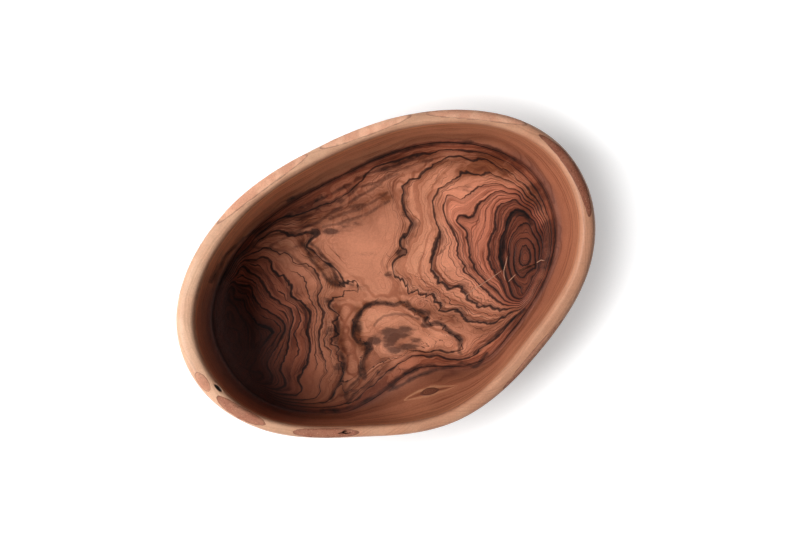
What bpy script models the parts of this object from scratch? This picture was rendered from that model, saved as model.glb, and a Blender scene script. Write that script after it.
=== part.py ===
"""A fruit bowl carved from one billet of olive wood, with the bark left on its rim and a knot in its wall.

Metres, +Z up. The bowl stands on its flat foot on the XY plane, with its long axis along X and the
origin under the middle of its outline. A place round the bowl is a turn from 0 to 1, which starts at
the +X end and runs towards the +Y side.
"""

import math

import bmesh
import bpy
from mathutils import Matrix, Vector

MM = 0.001

# Overall sizes of the bowl
BOWL_LENGTH = 280 * MM
BOWL_WIDTH = 196 * MM
BOWL_HEIGHT = 76 * MM

# Outside: a flat foot, a wall that rounds out to the belly, and a shoulder that turns in to the rim's crest
FOOT_INSET = 33 * MM
BELLY_DROP = 6.5 * MM
SHOULDER_INSET = 6.0 * MM
BASE_ROUND = 2.35
SHOULDER_ROUND = 2.8

# Rim: a crest that rises a little at the two ends of the bowl and rolls over into the hollow
RIM_THICKNESS = 3.2 * MM
RIM_CROWN = 4.5 * MM
RIM_DIP = 2.5 * MM

# Hollow: a steep wall that turns into a slightly dished floor
FLOOR_THICKNESS = 13 * MM
FLOOR_DISH = 4 * MM
WALL_RUN = 10 * MM
WALL_STEEPNESS = 2.7

# The wall is left thicker near its knot, as a gentler slope
SHELF_ANGLE = 262
SHELF_RUN = 21 * MM
SHELF_HALF_SPAN = 28
SHELF_EASE = 0.8

# Hand-cut shape, at stations spaced evenly round the bowl
OUTLINE_SWELL = (0.993, 1.021, 1.014, 0.999, 1.042, 1.043, 0.997, 0.951, 0.917, 0.997, 0.951, 0.971)
RIM_SPREAD = (1.08, 0.96, 0.92, 0.96, 1.12, 1.30, 1.24, 0.88, 0.78, 0.86, 1.15, 1.10)
WALL_SPREAD = (1.15, 1.1, 0.85, 1.1, 0.8, 0.6, 0.6, 0.45, 0.55, 0.9, 0.75, 1.05)

# Bark left in the hollows of the trunk's surface: a remnant's usual width, and how far its middle lies
# in from the belly. Each has its name, middle and span in degrees, and its shares of those two sizes
BARK_WIDTH = 16 * MM
BARK_INSET = 4 * MM
BARK_PATCHES = (
    ("bark_right_end", 6, 42, 0.60, 0.95),
    ("bark_upper_right", 46, 34, 0.95, 0.30),
    ("bark_upper_middle", 78, 28, 0.90, 0.30),
    ("bark_upper_left", 109, 33, 0.95, 0.30),
    ("bark_left_end", 181.5, 10, 0.60, 1.00),
    ("bark_lower_left", 200, 23, 0.75, 1.20),
    ("bark_lower_middle", 230, 23, 0.65, 0.80),
    ("bark_lower_right", 297, 29, 0.60, 0.20),
)
BARK_STANDOFF_SHARE = 0.5
BARK_TIP_SHARE = 0.15

# Knot in the hollow's wall, and an open pocket where the bark has fallen out of the rim
KNOT_ANGLE = 264
KNOT_WALL_SHARE = 0.45
KNOT_LENGTH = 13 * MM
KNOT_WIDTH = 7 * MM
KNOT_DEPTH = 5 * MM
POCKET_ANGLE = 187.5
POCKET_CROWN_SHARE = 0.35
POCKET_LENGTH = 7 * MM
POCKET_WIDTH = 2.2 * MM
POCKET_DEPTH = 3 * MM

# Clearance between the bowl and each piece that is let into it
INLAY_GAP = 0.3 * MM

# Mesh density
SEGMENTS = 72
OUTER_STEPS = 6
SHOULDER_STEPS = 5
CROWN_STEPS = 4
INNER_STEPS = 7
FLOOR_STEPS = 4
BARK_STEPS = 10
BARK_SIDES_RESOLUTION = 2
KNOT_SEGMENTS = 18
KNOT_RINGS = 9
SHARP_EDGE = math.radians(40)
WELD = 0.01 * MM

# Finishes: linear red, green and blue, and roughness
OLIVE_WOOD = (0.46, 0.21, 0.12, 0.45)
BARK = (0.36, 0.15, 0.08, 0.75)
KNOT_WOOD = (0.16, 0.05, 0.03, 0.5)


def along_stations(stations, turn):
    """The value at a turn on a smooth closed curve through evenly spaced stations."""
    place = (turn % 1.0) * len(stations)
    first = int(place)
    t = place - first
    a, b, c, d = (stations[(first + k) % len(stations)] for k in (-1, 0, 1, 2))
    return b + 0.5 * t * (c - a + t * (2 * a - 5 * b + 4 * c - d + t * (3 * (b - c) + d - a)))


def swelled_circle(turn):
    """A point of the outline before it is stretched to the bowl's length and width."""
    swell = along_stations(OUTLINE_SWELL, turn)
    angle = math.tau * turn
    return Vector((swell * math.cos(angle), swell * math.sin(angle)))


def outline_frame():
    """The middle and the half sizes of the swelled circle, over the turns that the mesh uses."""
    points = [swelled_circle(k / SEGMENTS) for k in range(SEGMENTS)]
    low = Vector((min(p.x for p in points), min(p.y for p in points)))
    high = Vector((max(p.x for p in points), max(p.y for p in points)))
    return (low + high) / 2, (high - low) / 2


OUTLINE_MIDDLE, OUTLINE_HALF = outline_frame()


def belly(turn):
    """The bowl's widest outline, seen from above."""
    point = swelled_circle(turn) - OUTLINE_MIDDLE
    half_length = BOWL_LENGTH / 2 / OUTLINE_HALF.x
    half_width = BOWL_WIDTH / 2 / OUTLINE_HALF.y
    return Vector((point.x * half_length, point.y * half_width, 0))


def along_rim(turn):
    """The direction of the outline at a turn."""
    step = 0.1 / SEGMENTS
    return (belly(turn + step) - belly(turn - step)).normalized()


def skin_point(turn, inset, height):
    """The point at a height and a distance in from the belly."""
    inward = Vector((0, 0, 1)).cross(along_rim(turn))
    return belly(turn) + inset * inward + Vector((0, 0, height))


def rim_top(turn):
    """The height of the rim, which is lower along the bowl's two sides."""
    return BOWL_HEIGHT - RIM_DIP * math.sin(math.tau * turn) ** 2


def crown_base(turn):
    """The height where the hollow's wall begins."""
    return rim_top(turn) - RIM_CROWN


def rim_insets(turn):
    """How far the rim's crest and the top of the hollow's wall lie in from the belly."""
    spread = along_stations(RIM_SPREAD, turn)
    return SHOULDER_INSET * spread, (SHOULDER_INSET + RIM_THICKNESS) * spread


def rounded_corner(angle, power):
    """A quarter of a superellipse, from (1, 0) to (0, 1): a higher power makes a squarer corner."""
    return max(math.cos(angle), 0) ** (2 / power), max(math.sin(angle), 0) ** (2 / power)


def shoulder_pair(turn, angle):
    """A point of the shoulder, from the belly at 0 to the rim's crest at pi / 2."""
    belly_height = BOWL_HEIGHT - BELLY_DROP
    crest, _ = rim_insets(turn)
    short_of_crest, above_belly = rounded_corner(angle, SHOULDER_ROUND)
    return crest * (1 - short_of_crest), belly_height + (rim_top(turn) - belly_height) * above_belly


def outer_section(turn):
    """The outside from the foot to the rim's crest, as (inset, height) pairs."""
    belly_height = BOWL_HEIGHT - BELLY_DROP
    pairs = []
    for k in range(OUTER_STEPS + 1):
        below_belly, out_from_foot = rounded_corner(math.pi / 2 * k / OUTER_STEPS, BASE_ROUND)
        pairs.append((FOOT_INSET * (1 - out_from_foot), belly_height * (1 - below_belly)))
    pairs += [shoulder_pair(turn, math.pi / 2 * k / SHOULDER_STEPS) for k in range(1, SHOULDER_STEPS + 1)]
    return pairs


def crown_pair(turn, angle):
    """A point where the rim rolls over into the hollow, from its crest at 0 to the wall at pi / 2."""
    crest, inner = rim_insets(turn)
    return crest + (inner - crest) * math.sin(angle), crown_base(turn) + RIM_CROWN * math.cos(angle)


def shelf_share(turn):
    """How much of the gentler slope near the knot there is at a turn, from 0 to 1."""
    apart = (360 * turn - SHELF_ANGLE + 180) % 360 - 180
    return math.cos(math.pi / 2 * min(abs(apart) / SHELF_HALF_SPAN, 1)) ** 2


def wall_steepness(turn):
    """The power of the wall's curve: higher is a straighter wall with a tighter turn to the floor."""
    return WALL_STEEPNESS - SHELF_EASE * shelf_share(turn)


def wall_pair(turn, angle):
    """A point of the hollow's wall, from the rim at 0 to the floor's edge at pi / 2."""
    _, inner = rim_insets(turn)
    run = WALL_RUN * along_stations(WALL_SPREAD, turn) + SHELF_RUN * shelf_share(turn)
    short_of_floor, below_rim = rounded_corner(angle, wall_steepness(turn))
    depth = crown_base(turn) - FLOOR_THICKNESS - FLOOR_DISH
    return inner + run * (1 - short_of_floor), crown_base(turn) - depth * below_rim


def section(turn):
    """The whole section at a turn, as (inset, height) pairs from the foot to the floor's edge."""
    pairs = outer_section(turn)
    pairs += [crown_pair(turn, math.pi / 2 * k / CROWN_STEPS) for k in range(1, CROWN_STEPS)]
    pairs += [wall_pair(turn, math.pi / 2 * k / INNER_STEPS) for k in range(INNER_STEPS + 1)]
    return pairs


def blank_mesh():
    """The bowl before anything is let into it: rings of points round the bowl, joined into a skin."""
    turns = [k / SEGMENTS for k in range(SEGMENTS)]
    columns = [[skin_point(turn, *pair) for pair in section(turn)] for turn in turns]
    rings = list(zip(*columns))
    floor_edge = rings[-1]
    for k in range(FLOOR_STEPS - 1, 0, -1):
        share = k / FLOOR_STEPS
        height = FLOOR_THICKNESS + FLOOR_DISH * share**2
        rings.append([Vector((p.x * share, p.y * share, height)) for p in floor_edge])

    mesh = bpy.data.meshes.new("bowl_blank")
    bm = bmesh.new()
    loops = [[bm.verts.new(point) for point in ring] for ring in rings]
    for lower, upper in zip(loops, loops[1:]):
        for k in range(SEGMENTS):
            after = (k + 1) % SEGMENTS
            bm.faces.new((lower[k], lower[after], upper[after], upper[k]))
    bm.faces.new(loops[0])
    middle = bm.verts.new((0, 0, FLOOR_THICKNESS))
    for k in range(SEGMENTS):
        bm.faces.new((loops[-1][k], loops[-1][(k + 1) % SEGMENTS], middle))
    bmesh.ops.recalc_face_normals(bm, faces=bm.faces)
    bm.to_mesh(mesh)
    bm.free()
    return mesh


def rim_skin(turn, inset):
    """The outer skin at a distance in from the belly: the point and the direction that it faces."""
    crest, inner = rim_insets(turn)

    def pair(at):
        if at < crest:
            short_of_crest = 1 - max(at, 0.0) / crest
            return at, shoulder_pair(turn, math.acos(short_of_crest ** (SHOULDER_ROUND / 2)))[1]
        return crown_pair(turn, math.asin((at - crest) / (inner - crest)))

    step = 0.02 * (inner - crest)
    below = skin_point(turn, *pair(inset - step))
    above = skin_point(turn, *pair(inset + step))
    facing = along_rim(turn).cross(above - below).normalized()
    return skin_point(turn, *pair(inset)), facing


def bark_tube(name, middle, span, width_share, inset_share, margin):
    """A tube along the shoulder, thick in the middle and thin at its tips, that stands out of the skin."""
    width = width_share * BARK_WIDTH
    inset = inset_share * BARK_INSET
    path = bpy.data.curves.new(name, "CURVE")
    path.dimensions = "3D"
    path.bevel_depth = width / 2
    path.bevel_resolution = BARK_SIDES_RESOLUTION
    path.use_fill_caps = True
    spline = path.splines.new("POLY")
    spline.points.add(BARK_STEPS)
    for k, point in enumerate(spline.points):
        place = 2 * k / BARK_STEPS - 1
        reach = place * (span / 2 + math.degrees(margin / (BOWL_LENGTH / 2)))
        taper = BARK_TIP_SHARE + (1 - BARK_TIP_SHARE) * math.sqrt(1 - place**2)
        skin, facing = rim_skin((middle + reach) / 360, inset)
        point.co = (*(skin + BARK_STANDOFF_SHARE * taper * width / 2 * facing), 1)
        point.radius = taper + margin / (width / 2)
    curve = bpy.data.objects.new(name + "_path", path)
    return curve_to_mesh(curve, name)


def curve_to_mesh(curve, name):
    """The mesh of a curve, with its caps welded on. The curve is removed."""
    bpy.context.scene.collection.objects.link(curve)
    graph = bpy.context.evaluated_depsgraph_get()
    mesh = bpy.data.meshes.new_from_object(curve.evaluated_get(graph))
    mesh.name = name
    bpy.data.objects.remove(curve)
    bm = bmesh.new()
    bm.from_mesh(mesh)
    bmesh.ops.remove_doubles(bm, verts=bm.verts, dist=WELD)
    bmesh.ops.recalc_face_normals(bm, faces=bm.faces)
    bm.to_mesh(mesh)
    bm.free()
    return mesh


def ellipsoid_mesh(name, length, width, depth):
    """A ball stretched to these three sizes along X, Y and Z."""
    mesh = bpy.data.meshes.new(name)
    bm = bmesh.new()
    bmesh.ops.create_uvsphere(bm, u_segments=KNOT_SEGMENTS, v_segments=KNOT_RINGS, radius=0.5)
    bmesh.ops.scale(bm, vec=(length, width, depth), verts=bm.verts)
    bm.to_mesh(mesh)
    bm.free()
    return mesh


def lying_on(point, along, facing):
    """A placement at a point, with X along one direction and Z the way that the surface faces."""
    across = facing.cross(along).normalized()
    turned = Matrix((along, across, facing)).transposed()
    return Matrix.Translation(point) @ turned.to_4x4()


def knot_place():
    """Where the knot lies on the hollow's wall."""
    turn = KNOT_ANGLE / 360
    angle = math.acos((1 - KNOT_WALL_SHARE) ** (wall_steepness(turn) / 2))
    step = 0.02
    above = skin_point(turn, *wall_pair(turn, angle - step))
    below = skin_point(turn, *wall_pair(turn, angle + step))
    along = along_rim(turn)
    facing = along.cross(below - above).normalized()
    return lying_on(skin_point(turn, *wall_pair(turn, angle)), along, facing)


def pocket_place():
    """Where the open pocket lies on the rim's top."""
    turn = POCKET_ANGLE / 360
    point = skin_point(turn, *crown_pair(turn, math.pi / 2 * POCKET_CROWN_SHARE))
    return lying_on(point, along_rim(turn), Vector((0, 0, 1)))


def plain_material(name, red, green, blue, roughness):
    """A wood or bark finish."""
    material = bpy.data.materials.new(name)
    material.use_nodes = True
    shader = material.node_tree.nodes["Principled BSDF"]
    shader.inputs["Base Color"].default_value = (red, green, blue, 1)
    shader.inputs["Roughness"].default_value = roughness
    shader.inputs["Metallic"].default_value = 0
    return material


def new_collection(name):
    collection = bpy.data.collections.new(name)
    bpy.context.scene.collection.children.link(collection)
    return collection


def add_object(name, mesh, collection, place=None):
    obj = bpy.data.objects.new(name, mesh)
    obj.matrix_world = place or Matrix.Identity(4)
    collection.objects.link(obj)
    return obj


def as_helper(obj):
    """Marks a cutter or a guide, which isn't a piece of the bowl."""
    obj.hide_render = True
    obj.display_type = "WIRE"
    return obj


def add_piece(name, mesh, collection, material, place=None):
    """A piece of the bowl, shaded smooth."""
    mesh.materials.clear()
    mesh.materials.append(material)
    mesh.shade_smooth()
    mesh.set_sharp_from_angle(angle=SHARP_EDGE)
    return add_object(name, mesh, collection, place)


def trim_to(obj, blank):
    """Cuts a piece off level with the bowl's skin."""
    trim = obj.modifiers.new("level_with_skin", "BOOLEAN")
    trim.operation = "INTERSECT"
    trim.object = blank


def main():
    for obj in list(bpy.data.objects):
        bpy.data.objects.remove(obj)

    pieces = new_collection("fruit_bowl")
    cutters = new_collection("fruit_bowl_cutters")
    guides = new_collection("fruit_bowl_guides")
    olive_wood = plain_material("olive_wood", *OLIVE_WOOD)
    bark = plain_material("bark", *BARK)
    knot_wood = plain_material("knot_wood", *KNOT_WOOD)

    blank = as_helper(add_object("bowl_blank", blank_mesh(), guides))

    for name, *shape in BARK_PATCHES:
        patch = add_piece(name, bark_tube(name, *shape, margin=0), pieces, bark)
        trim_to(patch, blank)
        bed = bark_tube(name + "_bed", *shape, margin=INLAY_GAP)
        as_helper(add_object(name + "_bed", bed, cutters))

    knot_sizes = Vector((KNOT_LENGTH, KNOT_WIDTH, KNOT_DEPTH))
    knot = add_piece("wall_knot", ellipsoid_mesh("wall_knot", *knot_sizes), pieces, knot_wood, knot_place())
    trim_to(knot, blank)
    socket_sizes = knot_sizes + Vector((2 * INLAY_GAP,) * 3)
    socket = ellipsoid_mesh("knot_socket", *socket_sizes)
    as_helper(add_object("knot_socket", socket, cutters, knot_place()))

    pocket = ellipsoid_mesh("bark_pocket", POCKET_LENGTH, POCKET_WIDTH, 2 * POCKET_DEPTH)
    as_helper(add_object("bark_pocket", pocket, cutters, pocket_place()))

    body = add_piece("bowl_body", blank.data.copy(), pieces, olive_wood)
    for cutter in cutters.objects:
        cut = body.modifiers.new("cut_" + cutter.name, "BOOLEAN")
        cut.operation = "DIFFERENCE"
        cut.object = cutter


main()
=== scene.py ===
# %% [markdown]
# # A carved olive-wood fruit bowl
# The bowl is carved from one slice of an olive trunk, so its growth rings run round it in plan, its floor
# shows the boldest figure, and scraps of bark stay on its shoulder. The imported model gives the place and
# the size of every piece. This lesson makes fine meshes and procedural finishes that fit over it.

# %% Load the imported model
import math

import bmesh
import bpy
import numpy as np
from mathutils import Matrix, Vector, noise


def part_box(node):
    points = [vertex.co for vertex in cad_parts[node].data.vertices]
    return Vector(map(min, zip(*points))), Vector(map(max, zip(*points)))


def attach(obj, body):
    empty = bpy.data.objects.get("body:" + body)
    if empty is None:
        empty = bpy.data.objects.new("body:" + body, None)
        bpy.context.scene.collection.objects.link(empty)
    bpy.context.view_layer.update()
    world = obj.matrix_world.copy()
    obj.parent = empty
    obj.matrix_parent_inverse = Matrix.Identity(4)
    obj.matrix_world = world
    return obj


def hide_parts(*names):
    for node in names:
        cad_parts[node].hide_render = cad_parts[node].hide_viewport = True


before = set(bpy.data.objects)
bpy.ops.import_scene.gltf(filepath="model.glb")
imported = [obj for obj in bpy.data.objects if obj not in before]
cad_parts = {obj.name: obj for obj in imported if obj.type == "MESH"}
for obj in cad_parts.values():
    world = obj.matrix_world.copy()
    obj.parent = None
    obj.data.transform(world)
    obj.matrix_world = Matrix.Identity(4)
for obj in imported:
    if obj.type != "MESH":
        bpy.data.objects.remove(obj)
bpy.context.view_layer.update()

# %% [markdown]
# ## The bowl's outline
# Seen from above the bowl is a stretched circle that the carver left uneven. A circle whose radius swells
# and shrinks at twelve stations gives that outline, and a smooth closed curve through the stations fills
# in the rest. The length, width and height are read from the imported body, less a hair on each side, so
# that bark can stand proud of the skin and still lie within that body's box.

# %% Outline from twelve stations
MM = 0.001
BARK_ROOM = 0.3 * MM
lowest, highest = (np.array(corner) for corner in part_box("bowl_body"))
BOWL_LENGTH, BOWL_WIDTH, BOWL_HEIGHT = highest - lowest - BARK_ROOM * np.array([2, 2, 1])
OUTLINE_SWELL = (0.993, 1.021, 1.014, 0.999, 1.042, 1.043, 0.997, 0.951, 0.917, 0.997, 0.951, 0.971)
AROUND = 480
TURNS = np.arange(AROUND) / AROUND


def along_stations(stations, turn):
    """The value at each turn on a smooth closed curve through evenly spaced stations."""
    stations = np.asarray(stations)
    place = (turn % 1.0) * len(stations)
    first = np.floor(place).astype(int)
    t = place - first
    a, b, c, d = (stations[(first + k) % len(stations)] for k in (-1, 0, 1, 2))
    return b + 0.5 * t * (c - a + t * (2 * a - 5 * b + 4 * c - d + t * (3 * (b - c) + d - a)))


def swelled_circle(turn):
    angle = math.tau * turn
    ring = np.stack([np.cos(angle), np.sin(angle)], axis=-1)
    return along_stations(OUTLINE_SWELL, turn)[..., None] * ring


CIRCLE = swelled_circle(TURNS)
CIRCLE_MIDDLE = (CIRCLE.min(0) + CIRCLE.max(0)) / 2
CIRCLE_STRETCH = np.array([BOWL_LENGTH, BOWL_WIDTH]) / (CIRCLE.max(0) - CIRCLE.min(0))


def belly(turn):
    """The bowl's widest outline, seen from above."""
    return (swelled_circle(turn) - CIRCLE_MIDDLE) * CIRCLE_STRETCH


def inward(turn):
    """The direction from the outline straight into the bowl."""
    step = 0.001
    along = belly(turn + step) - belly(turn - step)
    along /= np.linalg.norm(along, axis=-1, keepdims=True)
    return np.stack([-along[..., 1], along[..., 0]], axis=-1)


print("outline", AROUND, "points,", np.round((belly(TURNS).max(0) - belly(TURNS).min(0)) / MM, 2), "mm")

# %% [markdown]
# ## The bowl's section
# A cut through the bowl starts at the edge of the flat foot, rounds out to the belly, turns in over the
# shoulder to the rim's crest, rolls over it and falls down a steep wall to the dished floor. Each stretch
# is a quarter of an ellipse or of a superellipse, so they meet without a crease. The wall lies flatter
# round the knot, where the carver couldn't cut it thin.

# %% Section formulas
FOOT_INSET = 33 * MM
BELLY_DROP = 6.5 * MM
BELLY_HEIGHT = BOWL_HEIGHT - BELLY_DROP
BASE_ROUND = 2.35
SHOULDER_INSET = 6 * MM
SHOULDER_ROUND = 2.8
RIM_THICKNESS = 3.2 * MM
RIM_CROWN = 4.5 * MM
RIM_DIP = 2.5 * MM
RIM_SPREAD = (1.08, 0.96, 0.92, 0.96, 1.12, 1.30, 1.24, 0.88, 0.78, 0.86, 1.15, 1.10)
FLOOR_THICKNESS = 13 * MM
FLOOR_DISH = 4 * MM
WALL_RUN = 10 * MM
WALL_SPREAD = (1.15, 1.1, 0.85, 1.1, 0.8, 0.6, 0.6, 0.45, 0.55, 0.9, 0.75, 1.05)
WALL_STEEPNESS = 2.7
SHELF_TURN = 262 / 360
SHELF_RUN = 21 * MM
SHELF_HALF_SPAN = 28 / 360
SHELF_EASE = 0.8


def rounded_corner(angle, power):
    """A quarter of a superellipse, from (1, 0) to (0, 1)."""
    return np.maximum(np.cos(angle), 0) ** (2 / power), np.maximum(np.sin(angle), 0) ** (2 / power)


def crown_base(turn):
    """The height where the hollow's wall begins."""
    return BOWL_HEIGHT - RIM_DIP * np.sin(math.tau * turn) ** 2 - RIM_CROWN


def rim_insets(turn):
    """How far the rim's crest and the top of the wall lie in from the belly."""
    spread = along_stations(RIM_SPREAD, turn)
    return SHOULDER_INSET * spread, (SHOULDER_INSET + RIM_THICKNESS) * spread


def shelf_share(turn):
    """One in the middle of the shelf, falling smoothly to zero on both sides."""
    apart = np.abs((turn - SHELF_TURN + 0.5) % 1.0 - 0.5)
    return np.cos(math.pi / 2 * np.minimum(apart / SHELF_HALF_SPAN, 1)) ** 2


def outer_pair(turn, share):
    """Inset and height from the foot's edge at share 0 to the belly at 1."""
    below, out = rounded_corner(math.pi / 2 * share, BASE_ROUND)
    return FOOT_INSET * (1 - out) + 0 * turn, BELLY_HEIGHT * (1 - below) + 0 * turn


def shoulder_pair(turn, share):
    """Inset and height from the belly at share 0 to the rim's crest at 1."""
    short, above = rounded_corner(math.pi / 2 * share, SHOULDER_ROUND)
    rim_rise = crown_base(turn) + RIM_CROWN - BELLY_HEIGHT
    return rim_insets(turn)[0] * (1 - short), BELLY_HEIGHT + rim_rise * above


def crown_pair(turn, share):
    """Inset and height from the rim's crest at share 0 to the top of the wall at 1."""
    crest, inner = rim_insets(turn)
    angle = math.pi / 2 * share
    return crest + (inner - crest) * np.sin(angle), crown_base(turn) + RIM_CROWN * np.cos(angle)


def wall_pair(turn, share):
    """Inset and height from the rim at share 0 to the floor's edge at 1."""
    run = WALL_RUN * along_stations(WALL_SPREAD, turn) + SHELF_RUN * shelf_share(turn)
    steepness = WALL_STEEPNESS - SHELF_EASE * shelf_share(turn)
    short, below = rounded_corner(math.pi / 2 * share, steepness)
    depth = crown_base(turn) - FLOOR_THICKNESS - FLOOR_DISH
    return rim_insets(turn)[1] + run * (1 - short), crown_base(turn) - depth * below


SECTION = ((outer_pair, 30), (shoulder_pair, 14), (crown_pair, 14), (wall_pair, 36))


def section_lines(turn):
    """Inset and height of every line round the bowl, from the foot's edge to the floor's edge."""
    pairs = [outer_pair(turn, np.float64(0))]
    for stretch, steps in SECTION:
        pairs += [stretch(turn, np.float64(k / steps)) for k in range(1, steps + 1)]
    return np.array([p[0] for p in pairs]), np.array([p[1] for p in pairs])


INSETS, HEIGHTS = section_lines(TURNS)
EDGE_INSET = INSETS[-1]
print("section of", len(INSETS), "lines; the floor's edge lies", np.round(EDGE_INSET.min() / MM, 1),
      "to", np.round(EDGE_INSET.max() / MM, 1), "mm in from the outline")

# %% [markdown]
# ## The skin
# The section lines become rings of points, closed by a foot and a floor of shrinking rings. A loft like
# this could come from a modifier, but computing the points keeps for each of them how far it lies in from
# the outline, which the figure of the wood needs later. A hand-cut bowl is never quite even, so slow
# waves ease the skin in by a fraction of a millimetre.

# %% Rings of the skin
FOOT_STEPS = 24
FLOOR_STEPS = 84
WAVE_DEPTH = 0.3 * MM
WAVE_FADE = 9 * MM
INSIDE_TURN = 0.3
SLOW_SHARE = 0.38
QUICK_SHARE = 0.12
belly_line, shoulder_line, crown_line = np.cumsum([steps for _, steps in SECTION])[:3]


def smooth_step(values):
    eased = np.clip(values, 0, 1)
    return eased * eased * (3 - 2 * eased)


def wave(turn, height, rounds, lean, start=0):
    """A wave with this many crests round the bowl, which leans as it rises."""
    return np.sin(math.tau * rounds * turn + lean * height + start)


def hand_waves(turn, height, lowest_height):
    """How far a hand-cut surface falls short of a ruled one. It dies out at the rim and the bottom."""
    slow = wave(turn, height, 5, 40) * wave(turn, height, 3, -70, 1)
    quick = wave(turn, height, 19, 90) * wave(turn, height, 2, 130)
    below_rim = smooth_step((crown_base(turn) - height) / WAVE_FADE)
    above_bottom = smooth_step((height - lowest_height) / WAVE_FADE)
    return WAVE_DEPTH * (below_rim * above_bottom) * (0.5 + SLOW_SHARE * slow + QUICK_SHARE * quick)


outside, inside = slice(0, shoulder_line + 1), slice(crown_line, None)
waved_insets = INSETS.copy()
waved_insets[outside] += hand_waves(TURNS, HEIGHTS[outside], 0)
waved_insets[inside] -= hand_waves(TURNS + INSIDE_TURN, HEIGHTS[inside], FLOOR_THICKNESS + FLOOR_DISH)
plan = belly(TURNS) + waved_insets[..., None] * inward(TURNS)
rings = np.concatenate([plan, HEIGHTS[..., None]], axis=-1)

foot_shares = np.arange(1, FOOT_STEPS) / FOOT_STEPS
floor_shares = np.arange(FLOOR_STEPS - 1, 0, -1) / FLOOR_STEPS
foot = rings[0] * foot_shares[:, None, None]
floor = rings[-1] * floor_shares[:, None, None]
floor[..., 2] = FLOOR_THICKNESS + FLOOR_DISH * floor_shares[:, None] ** 2
skin_rings = np.concatenate([foot, rings, floor])
SKIN_POINTS = np.concatenate([skin_rings.reshape(-1, 3), [(0, 0, 0), (0, 0, FLOOR_THICKNESS)]])


def ring_faces(count, sides, first_middle, last_middle):
    """Quads between neighbouring rings, and a fan of triangles at each end."""
    ring = np.arange(sides)
    after = (ring + 1) % sides
    faces = []
    for k in range(count - 1):
        low, high = k * sides, (k + 1) * sides
        faces += np.stack([low + ring, low + after, high + after, high + ring], axis=1).tolist()
    last = (count - 1) * sides
    faces += [(int(b), int(a), first_middle) for a, b in zip(ring, after)]
    faces += [(int(last + a), int(last + b), last_middle) for a, b in zip(ring, after)]
    return faces


def add_mesh_piece(name, points, faces):
    mesh = bpy.data.meshes.new(name)
    mesh.from_pydata([tuple(p) for p in points], [], faces)
    mesh.shade_smooth()
    piece = bpy.data.objects.new(name, mesh)
    bpy.context.scene.collection.objects.link(piece)
    return piece


middles = len(SKIN_POINTS) - 2
bowl = add_mesh_piece("olive_bowl", SKIN_POINTS, ring_faces(len(skin_rings), AROUND, middles, middles + 1))
print("skin:", len(bowl.data.vertices), "points,", len(bowl.data.polygons), "faces")

# %% [markdown]
# ## Where the camera stands
# The photograph looks straight down, with the bowl turned by 27 degrees. Knowing that view early helps: a
# feature read in the picture, such as a dark growth line, can be carried down its line of sight to the
# height where it lies in the bowl.

# %% From a place in the picture to a place in the bowl
PICTURE_SIZE = np.array([800, 533])
BOWL_IN_PICTURE = np.array([390.8, 282.5])
OUTLINE_IN_PICTURE = 439.2
VIEW_TURN = math.radians(27)
LENS = 85
SENSOR = 36
focal = PICTURE_SIZE[0] * LENS / SENSOR
CAMERA_HEIGHT = BELLY_HEIGHT + focal * BOWL_LENGTH / OUTLINE_IN_PICTURE
picture_axes = np.array([[math.cos(VIEW_TURN), -math.sin(VIEW_TURN)],
                         [-math.sin(VIEW_TURN), -math.cos(VIEW_TURN)]])


def sight(pixels, height):
    """Where the lines of sight through these pixels meet a level, measured from the camera's own axis."""
    reach = (CAMERA_HEIGHT - np.asarray(height)) / focal
    return (np.asarray(pixels, float) - PICTURE_SIZE / 2) @ picture_axes * reach[..., None]


CAMERA_PLAN = -sight(BOWL_IN_PICTURE, BELLY_HEIGHT)


def on_floor(pixels):
    """The points of the bowl's floor that these pixels show."""
    return CAMERA_PLAN + sight(pixels, np.float64(FLOOR_THICKNESS + 0.5 * FLOOR_DISH))


def picture_offset(plan_offset):
    """How many pixels right and down in the picture a step in plan makes."""
    return plan_offset @ np.linalg.inv(picture_axes) * focal / CAMERA_HEIGHT


print("camera over", np.round(CAMERA_PLAN / MM, 1), "mm, at", round(CAMERA_HEIGHT, 3), "m")

# %% [markdown]
# ## The age of the wood
# The figure of olive wood is a map of its growth: each dark line is one old surface of the tree. The
# floor shows three centres, a large one at each end and a whorl near the lower side, with a plain saddle
# between them. The main lines are traced here, from the innermost outwards, each with the number of its
# ring and how dark it is. A thin plate bent through those numbers then gives every point of the wood an
# age, so the lines flow as they do in the tree, and the finish only has to draw a dark line at each whole
# number.

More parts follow.
